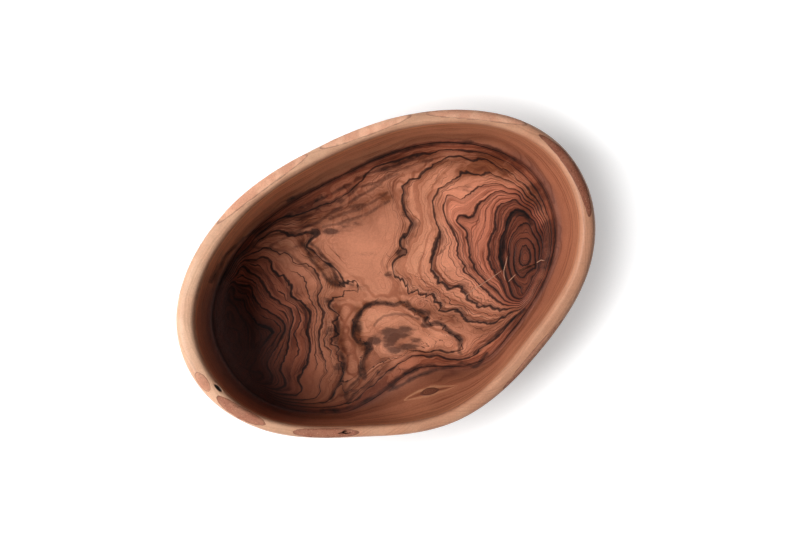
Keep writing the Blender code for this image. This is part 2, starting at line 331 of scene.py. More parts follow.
# %% Growth lines traced on the floor
# Number of the ring, how dark it is, and its points in the picture.
RIGHT_HEART = (
    (1, 0.7, ((520, 255), (522, 247), (526, 245), (530, 252), (530, 261), (525, 266))),
    (2, 0.7, ((514, 256), (516, 243), (524, 238), (532, 243), (535, 256), (531, 270), (522, 278),
              (515, 270))),
    (3, 0.8, ((509, 256), (511, 238), (520, 226), (531, 229), (538, 243), (539, 258), (532, 277),
              (521, 288), (512, 277))),
    (4, 1.1, ((500, 258), (502, 236), (509, 216), (522, 211), (534, 221), (542, 241), (542, 262),
              (534, 284), (520, 299), (510, 289), (505, 272))),
    (5, 0.8, ((489, 254), (495, 230), (497, 211), (507, 202), (520, 204), (532, 215), (541, 231),
              (546, 252), (544, 273), (531, 296), (513, 301), (502, 284), (493, 271))),
    (6, 0.9, ((468, 247), (466, 233), (457, 222), (469, 218), (479, 205), (489, 196), (503, 191),
              (520, 196), (534, 210), (545, 231), (549, 252), (472, 262), (478, 274), (489, 285),
              (501, 297))),
    (7, 0.6, ((456, 251), (456, 237), (450, 227), (445, 215), (447, 197), (461, 199), (470, 195),
              (477, 188), (492, 184), (508, 188), (524, 199), (538, 215), (463, 264), (474, 280),
              (487, 291), (500, 303))),
    (8, 1.1, ((432, 257), (437, 240), (438, 230), (434, 216), (434, 200), (443, 187), (454, 177),
              (474, 174), (490, 174), (508, 181), (524, 193), (538, 210), (548, 229), (431, 270),
              (437, 278), (447, 287), (459, 291), (470, 300), (484, 306), (498, 309), (514, 308))),
    (9, 1.0, ((392, 267), (400, 260), (408, 253), (405, 242), (410, 231), (411, 222), (404, 210),
              (400, 198), (402, 189), (410, 178), (422, 172), (430, 164), (444, 158), (460, 157),
              (478, 159), (496, 165), (511, 175), (527, 188), (541, 207), (551, 228), (394, 273),
              (405, 282), (410, 290), (420, 296), (432, 298), (438, 305), (446, 311), (457, 311),
              (467, 319), (480, 324), (495, 321), (512, 314))),
)
LEFT_HEART = (
    (2, 0.7, ((225, 338), (232, 328), (239, 340), (232, 352))),
    (3, 0.8, ((217, 338), (224, 317), (238, 312), (247, 326), (249, 344), (243, 360), (232, 367),
              (221, 358))),
    (4, 0.9, ((234, 297), (243, 300), (248, 312), (257, 324), (271, 332), (265, 343), (258, 356),
              (252, 371), (246, 384), (222, 303))),
    (5, 0.8, ((236, 283), (250, 287), (256, 299), (266, 309), (279, 318), (285, 329), (279, 342),
              (272, 354), (268, 368), (262, 384), (222, 292))),
    (6, 0.8, ((238, 269), (250, 273), (260, 279), (268, 292), (278, 301), (289, 309), (293, 320),
              (290, 330), (289, 342), (286, 355), (281, 371), (276, 389), (224, 280))),
    (7, 1.1, ((251, 260), (261, 258), (272, 262), (273, 268), (283, 277), (290, 287), (296, 298),
              (303, 304), (309, 312), (308, 331), (311, 342), (309, 355), (305, 368), (299, 382),
              (294, 395), (235, 266))),
    (8, 0.7, ((292, 255), (297, 263), (310, 268), (319, 278), (321, 287), (318, 300), (323, 311),
              (320, 335), (321, 350), (327, 361), (326, 373), (320, 385), (315, 398), (272, 252),
              (250, 254))),
    (9, 1.2, ((238, 251), (264, 236), (289, 232), (306, 231), (315, 236), (308, 245), (315, 253),
              (323, 260), (331, 268), (338, 277), (341, 284), (354, 286), (346, 291), (338, 297),
              (330, 305), (335, 313), (336, 322), (337, 332), (334, 342), (336, 351), (343, 358),
              (345, 367), (343, 379), (336, 389), (332, 398))),
)
LOWER_WHORL = (
    (8.55, 0.3, ((366, 331), (371, 322), (380, 317), (395, 315), (406, 317), (416, 326), (430, 334),
                 (445, 340), (448, 348), (425, 351), (400, 353), (381, 355), (374, 343))),
    (9, 0.3, ((358, 316), (365, 308), (376, 303), (390, 303), (404, 304), (410, 307), (416, 313),
              (424, 318), (433, 325), (443, 328), (449, 333), (457, 337), (461, 345), (459, 351),
              (353, 327), (357, 338), (367, 344), (369, 350), (362, 356), (361, 366), (365, 374),
              (358, 383), (350, 390))),
)
OUTER_LINES = (
    (10, 0.5, ((230, 250), (251, 236), (271, 224), (292, 216), (310, 210), (324, 204), (338, 199),
               (347, 193), (357, 184), (373, 170), (390, 163), (410, 158), (432, 153), (452, 151),
               (472, 151), (490, 155), (509, 164), (528, 181), (543, 202), (553, 226))),
    (10, 0.7, ((523, 313), (508, 326), (494, 338), (481, 348), (470, 356), (454, 358), (437, 355),
               (423, 355), (410, 357), (399, 363), (388, 371), (378, 380), (364, 392))),
)
SADDLE = ((350, 240), (332, 240), (372, 222), (362, 258), (380, 246), (350, 266), (366, 282), (384, 284),
          (388, 222), (384, 204), (330, 218), (420, 303), (440, 319), (460, 329), (346, 312), (347, 330),
          (349, 350), (352, 368))
HEARTS = ((525, 257), (232, 340), (397, 334))
HEART_AGES = (0.2, 1.2, 8.3)
SADDLE_AGE = 9.5
EDGE_AGE = 11
TRACED_LINES = RIGHT_HEART + LEFT_HEART + LOWER_WHORL + OUTER_LINES
traced = [(age, dark, on_floor(spots)) for age, dark, spots in TRACED_LINES]
traced_points = [spots for _, _, spots in traced]
print(len(traced), "growth lines from", sum(len(spots) for spots in traced_points), "points")

# %% [markdown]
# ## A thin plate through the ages
# A thin-plate spline is the surface that a springy sheet takes when it is held at given heights. It needs
# one linear system, which numpy solves at once. The floor's edge is held at its own age all the way
# round, so the lines on the floor close up against the wall as they do on the bowl.

# %% Bend the plate
PLATE_UNIT = 100 * MM
PLATE_EASE = 2e-5
NEARLY_NOTHING = 1e-12
EDGE_HOLDS = 40
PARTS = 60
edge_hold = rings[-1][:: AROUND // EDGE_HOLDS, :2]


def one_each(groups):
    """A group's value for each of its points, for one group after another."""
    return np.concatenate([np.full(len(points), float(value)) for value, points in groups])


held_points = np.concatenate(traced_points + [on_floor(SADDLE), on_floor(HEARTS), edge_hold])
held_ages = np.concatenate([
    one_each([(age, spots) for age, _, spots in traced] + [(SADDLE_AGE, SADDLE)]),
    HEART_AGES,
    one_each([(EDGE_AGE, edge_hold)]),
])


def plate_bend(points, holds):
    """The springy sheet's response at each point to a pull at each hold."""
    apart = ((points[:, None] - holds[None]) ** 2).sum(-1) / PLATE_UNIT**2
    return 0.5 * apart * np.log(apart + NEARLY_NOTHING)


def plate_terms(points):
    return np.concatenate([np.ones((len(points), 1)), points / PLATE_UNIT], axis=1)


def solve_plate(holds, values, ease):
    """The pulls that bend the sheet through the values, missing each a little as ease grows."""
    count = len(holds)
    system = np.zeros((count + 3, count + 3))
    system[:count, :count] = plate_bend(holds, holds) + ease * np.eye(count)
    system[:count, count:] = plate_terms(holds)
    system[count:, :count] = plate_terms(holds).T
    return np.linalg.solve(system, np.concatenate([values, np.zeros(3)]))


plate_pulls = solve_plate(held_points, held_ages, PLATE_EASE)


def in_parts(work, points):
    """Works on the points a part at a time, which keeps the tables between points and holds small."""
    return np.concatenate([work(part) for part in np.array_split(points, PARTS)])


def plate_height(points):
    return plate_bend(points, held_points) @ plate_pulls[:-3] + plate_terms(points) @ plate_pulls[-3:]


def floor_age(points):
    return in_parts(plate_height, points.reshape(-1, 2)).reshape(points.shape[:-1])


missed = np.abs(floor_age(held_points) - held_ages)
print("the plate misses its holds by", round(float(missed.mean()), 3), "rings on average")

# %% [markdown]
# ## Ages on the skin
# Each point of the skin keeps some numbers as attributes. The first three are its age, its pace, which is
# how fast the age changes there, and its vein, which is how dark a line through it is. Up the wall and
# over the rim the rings are the outline's own parallels. Below the floor the same rings carry on, leaning
# a little, as a trunk does.

# %% Age, pace and vein of every point
WALL_PACE = 220.0
EDGE_BLEND = 9 * MM
TRUNK_LEAN = np.array([0.35, -0.25])
WALL_VEIN = 0.16
EDGE_VEIN = 0.3
SADDLE_VEIN = 0.05
VEIN_REACH = 5 * MM
VEIN_LEAD = 0.6
LEAST_WEIGHT = 1e-9
PACE_STEP = 1 * MM

radius = np.linalg.norm(rings[-1][:, :2], axis=-1)
foot_radius = np.linalg.norm(rings[0][:, :2], axis=-1)
past_edge = np.concatenate([
    FOOT_INSET - EDGE_INSET + (1 - foot_shares[:, None]) * foot_radius,
    INSETS - EDGE_INSET,
    (1 - floor_shares[:, None]) * radius,
])
plan_points = skin_rings[..., :2]
sunk = np.clip(FLOOR_THICKNESS - skin_rings[..., 2], 0, None)
under = sunk * (past_edge > 0)
leaned = plan_points + under[..., None] * TRUNK_LEAN


def skin_age(shift):
    """The age of every ring point, with the plan moved by a small step."""
    return floor_age(leaned + np.array(shift))


on_plate = smooth_step(past_edge / EDGE_BLEND)
plate_age = skin_age((0, 0))
pace_x = (skin_age((PACE_STEP, 0)) - plate_age) / PACE_STEP
pace_y = (skin_age((0, PACE_STEP)) - plate_age) / PACE_STEP
wall_age = EDGE_AGE - WALL_PACE * past_edge
age = wall_age + (plate_age - wall_age) * on_plate
pace = WALL_PACE + (np.hypot(pace_x, pace_y) - WALL_PACE) * on_plate

vein_points = np.concatenate(traced_points + [edge_hold, on_floor(SADDLE)])
vein_darks = one_each([(dark, spots) for _, dark, spots in traced]
                      + [(EDGE_VEIN, edge_hold), (SADDLE_VEIN, SADDLE)])


def nearby_dark(points):
    """The darkness of the traced lines near each point, the nearest counting most."""
    apart = ((points[:, None] - vein_points[None]) ** 2).sum(-1)
    weight = np.exp(-apart / (2 * VEIN_REACH**2)) + LEAST_WEIGHT
    return (weight @ vein_darks) / weight.sum(1)


floor_vein = in_parts(nearby_dark, leaned.reshape(-1, 2)).reshape(age.shape)
vein = WALL_VEIN + (floor_vein - WALL_VEIN) * smooth_step(past_edge / EDGE_BLEND + VEIN_LEAD)


def store(piece, name, values):
    """Keeps a number or a vector for each point of a piece."""
    values = np.asarray(values, np.float32)
    kind, field = ("FLOAT", "value") if values.ndim == 1 else ("FLOAT_VECTOR", "vector")
    piece.data.attributes.new(name, kind, "POINT").data.foreach_set(field, values.ravel())


def with_middles(values):
    """Ring values, followed by those of the two middle points, which take their ring's mean."""
    return np.concatenate([values.ravel(), [values[0].mean(), values[-1].mean()]])


for name, values in (("age", age), ("pace", pace), ("vein", vein)):
    store(bowl, name, with_middles(values))
print("ages from", round(float(age.min()), 2), "to", round(float(age.max()), 2))

# %% [markdown]
# ## Sapwood, wall and painted shade
# More numbers say what kind of wood a point shows: how much of it is pale sapwood or the hollow's wall,
# how high up the wall it lies, how far past the floor's edge, how much painted light its side of the wall
# gets, and how warm the sapwood on its side of the bowl is. The left end of the hollow is the darkest,
# partly as darker wood and partly as painted shade from the left wall. The colours deepen towards it, and
# a painted shadow of nearly one dark brown lies over its far end.

# %% Kinds of wood on the skin
SAP_ON_WALL = 7 * MM
SAP_OUTSIDE = 15 * MM
SAP_FADE = 0.6
WALL_FADE = 3 * MM
# Columns in the picture over which the wood darkens towards the left end: partly darker wood and partly
# painted shade from the left wall.
PAINTED_SHADE_FROM = 372
PAINTED_SHADE_TO = 250
PAINTED_SHADE_TILT = 0.6
# A painted shadow: over the far left end the colour goes towards one dark brown, by up to this share.
PAINTED_SHADOW_FROM = 250
PAINTED_SHADOW_TO = 190
PAINTED_SHADOW_SHARE = 0.65
# Painted light: how much paler the wall is made at each station round the bowl, most on the upper side,
# which faces away from the lamp.
WALL_PAINTED_LIGHT = (0.0, 0.1, 0.5, 0.85, 1.0, 0.2, 0.05, 0.0, 0.0, 0.05, 0.05, 0.0)
SAP_WARMTH = (1.0, 0.8, 0.55, 0.5, 0.45, 0.1, 0.1, 0.35, 0.8, 1.0, 1.0, 1.0)

section_rows = slice(FOOT_STEPS - 1, FOOT_STEPS - 1 + len(INSETS))
sap = np.zeros(age.shape)
section_sap = smooth_step((SAP_OUTSIDE - INSETS) / (SAP_FADE * SAP_OUTSIDE))
section_sap[shoulder_line:crown_line] = 1
section_sap[inside] = smooth_step((HEIGHTS[inside] - crown_base(TURNS)) / SAP_ON_WALL + 1)
sap[section_rows] = section_sap
section_wall = np.zeros(INSETS.shape)
section_wall[inside] = 1 - smooth_step((past_edge[section_rows][inside] + WALL_FADE) / WALL_FADE)
wall = np.zeros(age.shape)
wall[section_rows] = section_wall

in_picture = picture_offset(plan_points - CAMERA_PLAN) + PICTURE_SIZE / 2
# Darker towards the left end, partly darker wood and partly painted shade, with a painted shadow over the
# far end.
painted_shade_place = in_picture[..., 0] - PAINTED_SHADE_TILT * (in_picture[..., 1] - BOWL_IN_PICTURE[1])
painted_shade_and_dark_wood = smooth_step((PAINTED_SHADE_FROM - painted_shade_place) / (PAINTED_SHADE_FROM - PAINTED_SHADE_TO))
painted_shadow_veil = PAINTED_SHADOW_SHARE * smooth_step((PAINTED_SHADOW_FROM - painted_shade_place) / (PAINTED_SHADOW_FROM - PAINTED_SHADOW_TO))
rise = np.zeros(age.shape)
edge_height = FLOOR_THICKNESS + FLOOR_DISH
rise[section_rows] = np.clip((HEIGHTS - edge_height) / (crown_base(TURNS) - edge_height), 0, 1)
for name, values in (("sap", sap), ("wall", wall), ("rise", rise), ("painted_shade_and_dark_wood", painted_shade_and_dark_wood), ("painted_shadow_veil", painted_shadow_veil),
                     ("past_edge", past_edge / MM),
                     ("wall_painted_light", along_stations(WALL_PAINTED_LIGHT, TURNS) + 0 * age),
                     ("sap_warm", along_stations(SAP_WARMTH, TURNS) + 0 * age)):
    store(bowl, name, with_middles(values))
print("sapwood on", round(float((sap > 0.5).mean()) * 100, 1), "% of the points")

# %% [markdown]
# ## Rays from the hearts
# Neighbouring growth lines jag at the same places, because a dent in the young trunk grew on for years.
# So the noise that makes them ragged must change along a line and hardly across the lines. Each point
# gets, for each heart, its place on a round track about that heart, which a whole ray shares, and a
# weight that says how near the heart is.

# %% Round tracks about the three hearts
TRACK_RADIUS = 60 * MM
TRACK_DRIFT = 0.22
HEART_NEARNESS = 9 * MM
heart_plans = on_floor(HEARTS)
ray = SKIN_POINTS[:, None, :2] - heart_plans
heart_distance = np.linalg.norm(ray, axis=-1)
track = TRACK_RADIUS * ray / np.maximum(heart_distance, MM)[..., None]
nearness = np.exp((heart_distance.min(1, keepdims=True) - heart_distance) / HEART_NEARNESS)
nearness /= nearness.sum(1, keepdims=True)
HEART_NAMES = ("right", "left", "whorl")
for k, name in enumerate(HEART_NAMES):
    drift = TRACK_DRIFT * heart_distance[:, k:k + 1]
    store(bowl, "track_" + name, np.concatenate([track[:, k], drift], axis=1))
    store(bowl, "near_" + name, nearness[:, k])
print("tracks of", round(math.tau * TRACK_RADIUS / MM), "mm round", len(HEART_NAMES), "hearts")

# %% [markdown]
# ## Smoke, brown patches and plain wood
# Some marks follow no ring, so they are placed one by one, where the picture shows them. Smoke is a small
# brown cloud. Brown spots, and bands along a path, tint larger patches, and plain spots keep the saddle
# quiet. Each kind becomes one number at every point, which fades out from the middle of its marks. The
# finish gives them their ragged edges.

# %% Soft spots and bands
# Column and row in the picture, half the width and the height in pixels, and strength.
SMOKE = (
    (333, 232, 10, 5, 0.8), (352, 222, 15, 5, 0.5), (344, 228, 12, 4, 0.6), (363, 255, 15, 4, 0.4),
    (395, 333, 15, 6, 1.0), (391, 341, 9, 7, 1.0), (406, 330, 12, 4, 0.95), (386, 337, 4, 8, 0.7),
    (408, 346, 14, 5, 0.85), (394, 350, 9, 5, 0.8), (416, 341, 10, 4, 0.7), (358, 329, 5, 10, 0.75),
    (374, 340, 8, 6, 0.85), (416, 371, 19, 4, 0.7), (468, 190, 7, 7, 0.5), (405, 212, 5, 8, 0.65),
    (401, 252, 7, 6, 0.75), (459, 268, 16, 9, 0.45), (389, 274, 5, 4, 0.6), (318, 256, 7, 6, 0.5),
    (328, 266, 7, 6, 0.55), (334, 277, 6, 6, 0.55), (300, 246, 22, 10, 0.35), (357, 288, 13, 4, 0.5),
    (327, 300, 8, 7, 0.5), (330, 330, 8, 22, 0.45), (338, 372, 7, 18, 0.5),
)
BROWN_SPOTS = (
    (352, 212, 36, 15, 0.45), (490, 166, 52, 16, 1.1), (415, 161, 44, 12, 0.9), (398, 336, 28, 16, 0.6),
    (308, 300, 26, 36, 0.5), (288, 340, 26, 40, 0.3), (368, 383, 38, 14, 0.5), (300, 215, 30, 16, 0.2),
    (535, 200, 16, 30, 0.9), (547, 250, 13, 48, 1.2), (515, 315, 30, 14, 0.4),
)
PLAIN_SPOTS = (
    (362, 250, 40, 36, 1.0), (386, 226, 22, 28, 0.9), (378, 316, 14, 9, 0.8), (430, 340, 24, 9, 0.8),
)
# Half the width in millimetres, strength, and the path in the picture.
BROWN_BANDS = (
    (6.0, 1.1, ((304, 220), (322, 214), (341, 209), (364, 203), (385, 196))),
    (4.2, 1.1, ((303, 243), (313, 257), (322, 270), (333, 283))),
    (2.4, 0.55, ((402, 192), (405, 212), (406, 232), (397, 256), (395, 272))),
    (3.0, 0.8, ((335, 298), (340, 318), (340, 338), (346, 360), (343, 392))),
    (4.2, 1.0, ((359, 311), (354, 324), (357, 338), (366, 350), (362, 372))),
    (2.6, 0.9, ((365, 305), (380, 300), (398, 302), (414, 308), (426, 318))),
    (5.0, 0.6, ((430, 312), (455, 320), (480, 330), (500, 322))),
    (4.0, 0.8, ((372, 352), (386, 362), (376, 376), (366, 386))),
    (5.0, 0.6, ((384, 338), (400, 344), (420, 352), (446, 356))),
    (3.0, 0.5, ((440, 196), (436, 216), (436, 240), (432, 260), (440, 284))),
    (3.0, 0.45, ((470, 210), (462, 226), (466, 246), (474, 268), (492, 290))),
)
in_hollow = SKIN_POINTS[:, 2] > FLOOR_THICKNESS - MM


def soft_spots(spots):
    """The strongest of these spots at each point of the hollow, each fading out from its middle."""
    strongest = np.zeros(len(SKIN_POINTS))
    for column, row, half_width, half_height, strength in spots:
        offset = picture_offset(SKIN_POINTS[:, :2] - on_floor((column, row)))
        reach = (offset[:, 0] / half_width) ** 2 + (offset[:, 1] / half_height) ** 2
        strongest = np.maximum(strongest, strength * np.exp(-reach))
    return strongest * in_hollow


def distance_to(path, points):
    """The shortest distance from each point to a path of straight stretches."""
    nearest = np.full(len(points), np.inf)
    for start, end in zip(path, path[1:]):
        run = end - start
        share = np.clip((points - start) @ run / (run @ run), 0, 1)
        nearest = np.minimum(nearest, np.linalg.norm(points - start - share[:, None] * run, axis=1))
    return nearest


smoke = soft_spots(SMOKE)
brown = soft_spots(BROWN_SPOTS)
for half_width, strength, pixels in BROWN_BANDS:
    apart = distance_to(on_floor(pixels), SKIN_POINTS[:, :2]) / (half_width * MM)
    brown = np.maximum(brown, strength * np.exp(-apart**2) * in_hollow)
store(bowl, "smoke", smoke)
store(bowl, "brown", brown)
store(bowl, "plain", soft_spots(PLAIN_SPOTS))
print("smoke over", round(float((smoke > 0.2).mean()) * 100, 1), "% of the points")

# %% [markdown]
# ## Strokes
# Some dark lines cross the rings, run round the whorl or lie along the foot of the wall. Each is a given
# path, with half its width in millimetres and how dark it is. Every point keeps how far it lies past the
# nearest stroke, so the finish can draw it with a ragged edge. A broad stroke is more ragged than a thin
# one.

# %% Dark strokes
# Half the width in millimetres, how dark it is, and the path in the picture.
STROKES = (
    (1.5, 0.9, ((523, 212), (513, 213), (508, 221), (505, 233), (503, 247), (501, 259), (503, 268))),
    (1.4, 0.8, ((513, 214), (520, 213), (527, 216), (531, 224))),
    (0.6, 0.8, ((333, 211), (345, 205), (356, 198), (367, 192), (381, 184))),
    (0.5, 0.5, ((346, 222), (358, 218), (371, 211), (384, 203))),
    (0.7, 0.9, ((474, 353), (488, 343), (506, 325), (525, 309))),
    (0.7, 0.9, ((449, 367), (461, 363), (469, 364), (472, 367), (477, 366), (481, 361), (487, 353))),
    # Along the foot of the shelf: partly a dark growth line and partly painted shade in the crease.
    (1.5, 0.75, ((390, 386), (398, 379), (405, 374), (412, 370), (420, 367), (428, 365), (436, 366))),
    (0.9, 0.8, ((389, 390), (401, 385), (411, 379), (420, 375), (434, 370), (447, 367), (465, 363))),
    # Along the foot of the wall: partly a dark line and partly painted shade in the crease.
    (1.0, 0.75, ((322, 410), (340, 410), (356, 406), (371, 398), (382, 391), (391, 385))),
    (0.5, 0.6, ((380, 379), (390, 371), (401, 362), (408, 357), (420, 356), (433, 354))),
    (0.5, 0.7, ((374, 326), (378, 320), (384, 316), (395, 314), (408, 315), (418, 319))),
    (1.4, 0.95, ((366, 345), (357, 342), (353, 335), (353, 328), (355, 321), (358, 316), (363, 309),
                 (368, 305), (374, 303), (380, 303), (386, 304), (393, 305))),
    (1.3, 0.85, ((393, 305), (398, 304), (402, 302), (407, 302), (410, 308), (416, 311), (423, 312),
                 (429, 313), (428, 317), (425, 321), (424, 325))),
    (1.5, 0.95, ((424, 325), (429, 325), (435, 323), (440, 324), (444, 326), (447, 330), (452, 333),
                 (457, 336), (460, 340))),
    (0.9, 0.75, ((460, 340), (460, 346), (459, 351), (461, 354))),
    (2.2, 0.8, ((367, 344), (369, 348), (366, 354), (363, 360), (361, 367), (361, 374), (364, 377))),
    (0.8, 0.85, ((361, 376), (355, 382), (350, 386), (347, 391), (346, 397), (349, 403))),
    (0.7, 0.7, ((351, 390), (358, 391), (353, 395), (350, 402))),
    (0.7, 0.8, ((256, 237), (270, 226), (284, 218), (303, 212), (318, 207), (331, 202), (346, 194),
                (358, 185))),
    (0.5, 0.7, ((270, 246), (288, 236), (304, 228), (320, 221), (334, 211), (350, 207), (366, 204))),
    (0.6, 0.6, ((330, 219), (345, 213), (360, 209), (376, 200), (388, 192))),
    (0.5, 0.6, ((372, 189), (384, 178), (398, 170), (414, 165), (432, 160))),
    (1.0, 0.7, ((302, 244), (308, 252), (313, 262), (321, 270), (326, 279), (338, 286))),
    (0.7, 0.8, ((312, 234), (309, 242), (318, 249), (322, 256), (328, 262), (334, 272), (338, 281),
                (353, 285))),
    (0.7, 0.8, ((213, 282), (226, 256), (244, 238), (266, 225), (292, 214), (323, 203), (343, 200))),
    (0.6, 0.8, ((220, 284), (235, 260), (255, 242), (277, 234), (306, 232))),
    (0.8, 0.8, ((273, 223), (303, 207), (332, 194), (367, 174), (391, 168), (418, 157))),
    (0.6, 0.8, ((341, 203), (358, 187), (376, 183), (398, 174))),
    (0.5, 0.7, ((323, 227), (341, 223), (367, 214), (389, 201))),
    (0.6, 0.7, ((253, 247), (284, 251), (292, 256), (308, 269))),
    (0.9, 0.8, ((288, 201), (323, 185), (354, 170), (372, 160), (392, 153), (415, 147), (440, 143),
                (470, 143), (495, 149), (515, 160))),
    (1.3, 0.7, ((331, 305), (335, 313), (337, 323), (336, 334), (335, 343), (338, 352), (344, 360),
                (344, 370))),
    (1.0, 0.7, ((344, 370), (341, 381), (335, 390), (331, 398))),
)
FAR = 4.0
LEAST_ROUGH = 0.25
ROUGH_PER_MM = 0.3
stroke = np.full(len(SKIN_POINTS), FAR)
stroke_dark = np.zeros(len(SKIN_POINTS))
stroke_rough = np.zeros(len(SKIN_POINTS))
for half_width, dark, pixels in STROKES:
    past_stroke = distance_to(on_floor(pixels), SKIN_POINTS[:, :2]) / MM - half_width
    stroke_dark = np.where(past_stroke < stroke, dark, stroke_dark)
    rough = min(LEAST_ROUGH + ROUGH_PER_MM * half_width, 1)
    stroke_rough = np.where(past_stroke < stroke, rough, stroke_rough)
    stroke = np.minimum(stroke, past_stroke)
stroke[~in_hollow] = FAR
store(bowl, "stroke", stroke)
store(bowl, "stroke_dark", stroke_dark)
store(bowl, "stroke_rough", stroke_rough)
print(len(STROKES), "strokes touch", int((stroke < 0).sum()), "points")

# %% [markdown]
# ## Distances on the skin
# Bark, knot and crack lie on the skin, and their widths run along it. So each section is measured from
# the belly up and over the rim, and a place on the skin is given by its turn round the bowl and its
# distance along the section there. The knot's own place is worked out first, because the wood round it
# needs it.

# %% Sheets that follow the skin
def section_lengths(turn):
    """Insets, heights, and the length along each section, measured from the belly up and over the rim."""
    insets, heights = section_lines(turn)
    steps = np.hypot(np.diff(insets, axis=0), np.diff(heights, axis=0))
    lengths = np.concatenate([np.zeros((1, len(turn))), np.cumsum(steps, axis=0)])
    return insets, heights, lengths - lengths[belly_line]


def skin_sheet(turn, arc):
    """Points on the skin, for each turn and each distance along its section."""
    insets, heights, lengths = section_lengths(turn)
    inset = np.stack([np.interp(a, length, line) for a, length, line in zip(arc, lengths.T, insets.T)])
    height = np.stack([np.interp(a, length, line) for a, length, line in zip(arc, lengths.T, heights.T)])
    flat = belly(turn)[:, None] + inset[..., None] * inward(turn)[:, None]
    return np.concatenate([flat, height[..., None]], axis=-1)


def skin_facing(turn, arc):
    """The direction that the skin faces at those points."""
    step = 0.3 * MM
    up = skin_sheet(turn, arc + step) - skin_sheet(turn, arc - step)
    into = inward(turn)
    along = np.stack([into[:, 1], -into[:, 0], 0 * turn], axis=-1)
    facing = np.cross(along[:, None], up)
    return facing / np.linalg.norm(facing, axis=-1, keepdims=True)


KNOT_TURN = 264 / 360
KNOT_WALL_SHARE = 0.45
knot_turn = np.array([KNOT_TURN])
knot_steepness = WALL_STEEPNESS - SHELF_EASE * shelf_share(KNOT_TURN)
knot_angle = math.acos((1 - KNOT_WALL_SHARE) ** (knot_steepness / 2))
knot_insets, _, knot_lengths = section_lengths(knot_turn)
KNOT_ARC = np.interp(wall_pair(knot_turn, knot_angle / (math.pi / 2))[0], knot_insets[crown_line:, 0],
                     knot_lengths[crown_line:, 0])
turn_step = 0.002
ahead, behind = (skin_sheet(knot_turn + step, KNOT_ARC[:, None]) for step in (turn_step, -turn_step))
KNOT_TURN_LENGTH = float(np.linalg.norm(ahead - behind)) / (2 * turn_step)
print("the knot lies", round(float(KNOT_ARC[0]) / MM, 1), "mm along the section from the belly")

# %% [markdown]
# ## The knot's halo and the pocket
# The wood round the wall's knot is pale, and draws out into a tail along the grain on both sides. The rim
# has one small open pocket, where a bit of bark or rot fell out. The halo is a number that the finish
# reads. The pocket is pressed into the mesh as well, so that it takes light as a hollow does, and its
# inside is also painted nearly black as the shade of the open hole.

# %% Halo and pocket
HALO_LENGTH = 19 * MM
HALO_WIDTH = 5.2 * MM
HALO_TAIL = 0.02
POCKET_TURN = 187.5 / 360
POCKET_CROWN_SHARE = 0.35
POCKET_LENGTH = 7 * MM
POCKET_WIDTH = 2.2 * MM
POCKET_DEPTH = 3 * MM
PRESSED_SHARE = 0.6

_, _, arcs = section_lengths(TURNS)
along_knot = ((TURNS - KNOT_TURN + 0.5) % 1.0 - 0.5) * KNOT_TURN_LENGTH
halo_width = HALO_WIDTH * np.clip(1 - (along_knot / HALO_LENGTH) ** 2, HALO_TAIL, 1)
past_tails = (np.abs(along_knot) > HALO_LENGTH) * FAR
halo = np.full(age.shape, FAR)
halo[section_rows] = np.minimum(np.abs(arcs - KNOT_ARC) / halo_width + past_tails, FAR)
store(bowl, "halo", with_middles(halo))

pocket_turn = np.array([POCKET_TURN])
pocket_inset, pocket_height = crown_pair(pocket_turn, POCKET_CROWN_SHARE)
pocket_in = inward(pocket_turn)[0]
offset = SKIN_POINTS[:, :2] - (belly(pocket_turn) + pocket_inset * pocket_in)
across = offset @ pocket_in / (POCKET_WIDTH / 2)
length_wise = offset @ np.array([pocket_in[1], -pocket_in[0]]) / (POCKET_LENGTH / 2)
pocket = np.hypot(across, length_wise)
pocket[SKIN_POINTS[:, 2] < pocket_height - 2 * RIM_CROWN] = FAR
store(bowl, "pocket", np.minimum(pocket, FAR))
sunken = SKIN_POINTS.copy()
sunken[:, 2] -= PRESSED_SHARE * POCKET_DEPTH * np.clip(1 - pocket**2, 0, 1)
bowl.data.vertices.foreach_set("co", sunken.astype(np.float32).ravel())
bowl.data.update()
print("pocket presses", int((pocket < 1).sum()), "points into the rim")

# %% [markdown]
# ## Wiring finishes
# Every finish is a small graph of shader nodes. A few helpers keep the graphs short: one adds a node and
# feeds its sockets with values or with other nodes' outputs, and the rest name the nodes used most.

# %% Shader helpers
def add_node(tree, kind, feeds=(), **settings):
    made = tree.nodes.new(kind)
    for name, value in settings.items():
        setattr(made, name, value)
    for socket, value in dict(feeds).items():
        if isinstance(value, bpy.types.NodeSocket):
            tree.links.new(value, made.inputs[socket])
        else:
            made.inputs[socket].default_value = value
    return made


def sums(tree, operation, *values, clamp=False):
    feeds = dict(enumerate(values))
    return add_node(tree, "ShaderNodeMath", feeds, operation=operation, use_clamp=clamp).outputs[0]


def times(tree, *values, clamp=False):
    product = values[0]
    for value in values[1:]:
        product = sums(tree, "MULTIPLY", product, value, clamp=clamp)
    return product


def both_ways(tree, noise_here, reach):
    """Noise moved so that it runs to both sides of zero, over this reach in all."""
    return sums(tree, "MULTIPLY_ADD", noise_here, reach, -0.5 * reach)


def mixed(tree, share, first, second, blend="MIX"):
    colours = [c if isinstance(c, bpy.types.NodeSocket) else (*c, 1) for c in (first, second)]
    feeds = {0: share, 6: colours[0], 7: colours[1]}
    return add_node(tree, "ShaderNodeMix", feeds, data_type="RGBA", blend_type=blend).outputs[2]


def shaded(tree, share, colour, shade):
    """A colour that the shade darkens, and keeps its own variation."""
    return mixed(tree, share, colour, shade, "MULTIPLY")


def cloud(tree, spot, scale, detail=2.0, roughness=0.5):
    """Smooth noise from 0 to 1, with about this many lumps to a metre."""
    feeds = {"Vector": spot, "Scale": scale, "Detail": detail, "Roughness": roughness}
    return add_node(tree, "ShaderNodeTexNoise", feeds).outputs["Fac"]


